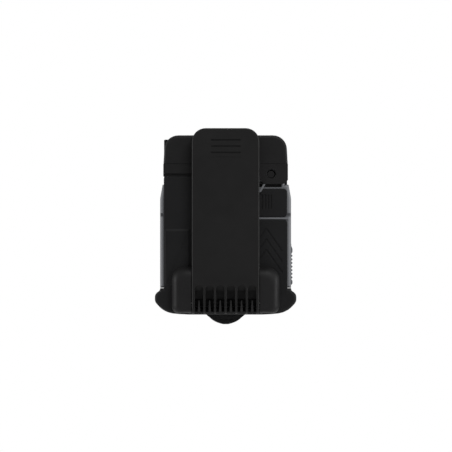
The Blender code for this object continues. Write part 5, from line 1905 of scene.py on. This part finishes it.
@dataclass
class Screws:
    """Machine screws with a shallow dome and a cross recess."""

    rows: RowTree
    head: float = 1.9
    head_height: float = 1.3
    shank: float = 1.0
    pitch: float = 0.8

    def screw(self, length: float, scale: float = 1.0) -> Form:
        """One screw along -Y with its head's face at the origin.

        Args:
            length: of its shank.
            scale: of its head and shank against this class's sizes.

        Returns:
            The screw.
        """
        head = Form.slab(circle(self.head * scale, sides=36), -self.head_height, 0.0, (0.0, 0.35))
        threads: list[tuple[float, float]] = []
        count = int(length / self.pitch)
        for index in range(count):
            y = -self.head_height - length + index * self.pitch
            threads += [(0.0, y), (0.16, y + self.pitch / 2)]
        threads += [(0.0, y + self.pitch), (0.0, -0.5)]
        shank = circle(self.shank * scale, sides=16)
        head.join(Form.layered(shank, threads))
        arm, width = self.head * scale * 0.62, 0.24
        cross = [(-arm, -width, arm, width), (-width, -arm, width, arm)]
        return head.cut(*[Form.slab(rectangle(*sides, 0.1), -0.7, PAST) for sides in cross])

    def build(self) -> None:
        """Makes the case's, the clip's and the board's screws."""
        pair = ["right", "left"]
        square = [f"{level}_{side}" for level in ("lower", "upper") for side in pair]
        for name, nodes, length, scale, finish, rows in (
            ("case_screws", square, 15.5, 1.0, Finish.BLACK_STEEL, 2),
            ("clip_screws", pair, 7.0, 1.0, Finish.BLACK_STEEL, 1),
            ("board_screws", pair, 3.6, 0.8, Finish.STEEL, 1),
        ):
            kind = name.rstrip("s")
            full = [f"{kind}_{node}" for node in nodes]
            spans = [Datum.span(node) for node in full]
            heads = [Vector(((low.x + high.x) / 2, high.y, (low.z + high.z) / 2)) for low, high in spans]
            up = heads[2] - heads[0] if rows == 2 else Vector()
            screw, across = self.screw(length, scale), heads[1] - heads[0]
            copies = self.rows.repeated(screw, finish, heads[0], 2, across, rows, up)
            copies.finished(name, finish, stands_for=full)


class InnerPieces:
    """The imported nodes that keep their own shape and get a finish."""

    FINISHES = {
        "case_seal": Finish.SILICONE,
        "keypad_membrane": Finish.SILICONE,
        "sensor_gasket": Finish.SILICONE,
        "buzzer": Finish.COMPONENT,
        "battery_plug": Finish.COMPONENT,
        "side_switch": Finish.COMPONENT,
        "sensor_board": Finish.BOARD,
        "main_board": Finish.BOARD,
        "battery_cell": Finish.BATTERY,
        "battery_tray": Finish.HOUSING,
        "vibration_motor": Finish.STEEL,
        "motor_weight": Finish.STEEL,
        "charge_port": Finish.STEEL,
        "gas_sensor_1": Finish.SENSOR,
        "gas_sensor_2": Finish.SENSOR,
        "gas_sensor_3": Finish.SENSOR,
        "gas_sensor_4": Finish.SENSOR,
    }

    def build(self) -> None:
        """Dresses each node."""
        for node, finish in self.FINISHES.items():
            obj = frame["nodes"][node]
            obj.data.materials.clear()
            obj.data.materials.append(Paintbox.material(finish))
            LOG.info("%s: dressed in %s", node, finish.value)


# ---- Studio --------------------------------------------------------------------------------------


@dataclass
class Studio:
    """A white studio: soft light all round, large lamps beside and behind the camera, and a pale floor."""

    view_width: float = 230.5  # what the camera takes in at the detector, in millimetres
    lens: float = 1200.0
    sensor: float = 36.0
    aim_height: float = 45.2
    aim_side: float = -0.2
    fill: float = 0.22
    floor_drop: float = 150.0
    floor_radius: float = 480.0
    lamps: Sequence[tuple[tuple[float, float, float], float, float]] = field(
        default_factory=lambda: (
            ((-0.16, 0.4, 0.42), 0.3, 1.25),
            ((1.2, 0.2, 0.2), 0.7, 6.5),
            ((-1.2, 0.2, 0.2), 0.7, 6.5),
            ((0.0, -1.1, 0.8), 0.9, 8.0),
        )
    )

    def world(self) -> None:
        """White where the camera looks and softer where it lights the detector."""
        world = bpy.data.worlds.new("studio")
        world.use_nodes = True
        bpy.context.scene.world = world
        tree = world.node_tree
        tree.nodes.clear()
        seen, lit = tree.nodes.new("ShaderNodeBackground"), tree.nodes.new("ShaderNodeBackground")
        seen.inputs["Color"].default_value = lit.inputs["Color"].default_value = (1.0, 1.0, 1.0, 1.0)
        lit.inputs["Strength"].default_value = self.fill
        choice, path = tree.nodes.new("ShaderNodeMixShader"), tree.nodes.new("ShaderNodeLightPath")
        tree.links.new(path.outputs["Is Camera Ray"], choice.inputs["Fac"])
        tree.links.new(lit.outputs["Background"], choice.inputs[1])
        tree.links.new(seen.outputs["Background"], choice.inputs[2])
        tree.links.new(choice.outputs["Shader"], tree.nodes.new("ShaderNodeOutputWorld").inputs["Surface"])

    def floor(self) -> None:
        """A pale round floor below the detector."""
        shape = bmesh.new()
        bmesh.ops.create_circle(shape, cap_ends=True, segments=96, radius=self.floor_radius * MM)
        height = Datum.origin().z - self.floor_drop * MM
        bmesh.ops.translate(shape, verts=shape.verts, vec=(0.0, 0.0, height))
        mesh = bpy.data.meshes.new("floor")
        shape.to_mesh(mesh)
        shape.free()
        kit = NodeKit("floor_paint")
        shade = kit.mix(kit.noise(60.0, 2.0), (0.8, 0.8, 0.8), (0.84, 0.84, 0.84))
        mesh.materials.append(kit.dress(Base_Color=shade, Roughness=0.8))
        floor = bpy.data.objects.new("floor", mesh)
        bpy.context.scene.collection.objects.link(floor)

    def lights(self, centre: Vector) -> None:
        """Large soft lamps that all point at the detector.

        Args:
            centre: what they point at.
        """
        for index, (way, size, power) in enumerate(self.lamps):
            lamp = bpy.data.lights.new(f"lamp_{index}", "AREA")
            lamp.shape, lamp.size, lamp.energy = "DISK", size, power
            obj = bpy.data.objects.new(lamp.name, lamp)
            obj.location = centre + Vector(way)
            obj.rotation_euler = (-Vector(way)).to_track_quat("-Z", "Y").to_euler()
            obj.visible_camera = False
            bpy.context.scene.collection.objects.link(obj)

    def build(self) -> None:
        """Sets up the world, the floor, the lamps and the camera."""
        scene = bpy.context.scene
        scene.view_settings.view_transform = "Standard"
        self.world()
        self.floor()
        centre = Datum.origin() + Vector((self.aim_side, 0.0, self.aim_height)) * MM
        self.lights(centre)
        data = bpy.data.cameras.new("camera")
        data.lens, data.sensor_width = self.lens, self.sensor
        distance = self.view_width * MM * self.lens / self.sensor
        data.clip_end = distance * 10
        camera = bpy.data.objects.new("camera", data)
        camera.location = (centre.x, distance, centre.z)
        camera.rotation_euler = (math.pi / 2, 0.0, math.pi)
        scene.collection.objects.link(camera)
        scene.camera = camera


def main() -> None:
    """Builds the detector's pieces and the studio round it."""
    logging.basicConfig(level=logging.INFO, format="%(message)s")
    rows = RowTree()
    Studio().build()
    for part in (
        CaseHalves(),
        RubberBoot(),
        UpperHousing(),
        BeltClip(rows),
        FrontPanel(rows),
        SensorCover(rows),
        ThumbKey(rows),
        PortCover(),
        Screws(rows),
        InnerPieces(),
    ):
        LOG.info("building %s", type(part).__name__)
        part.build()


if __name__ == "__main__":
    main()
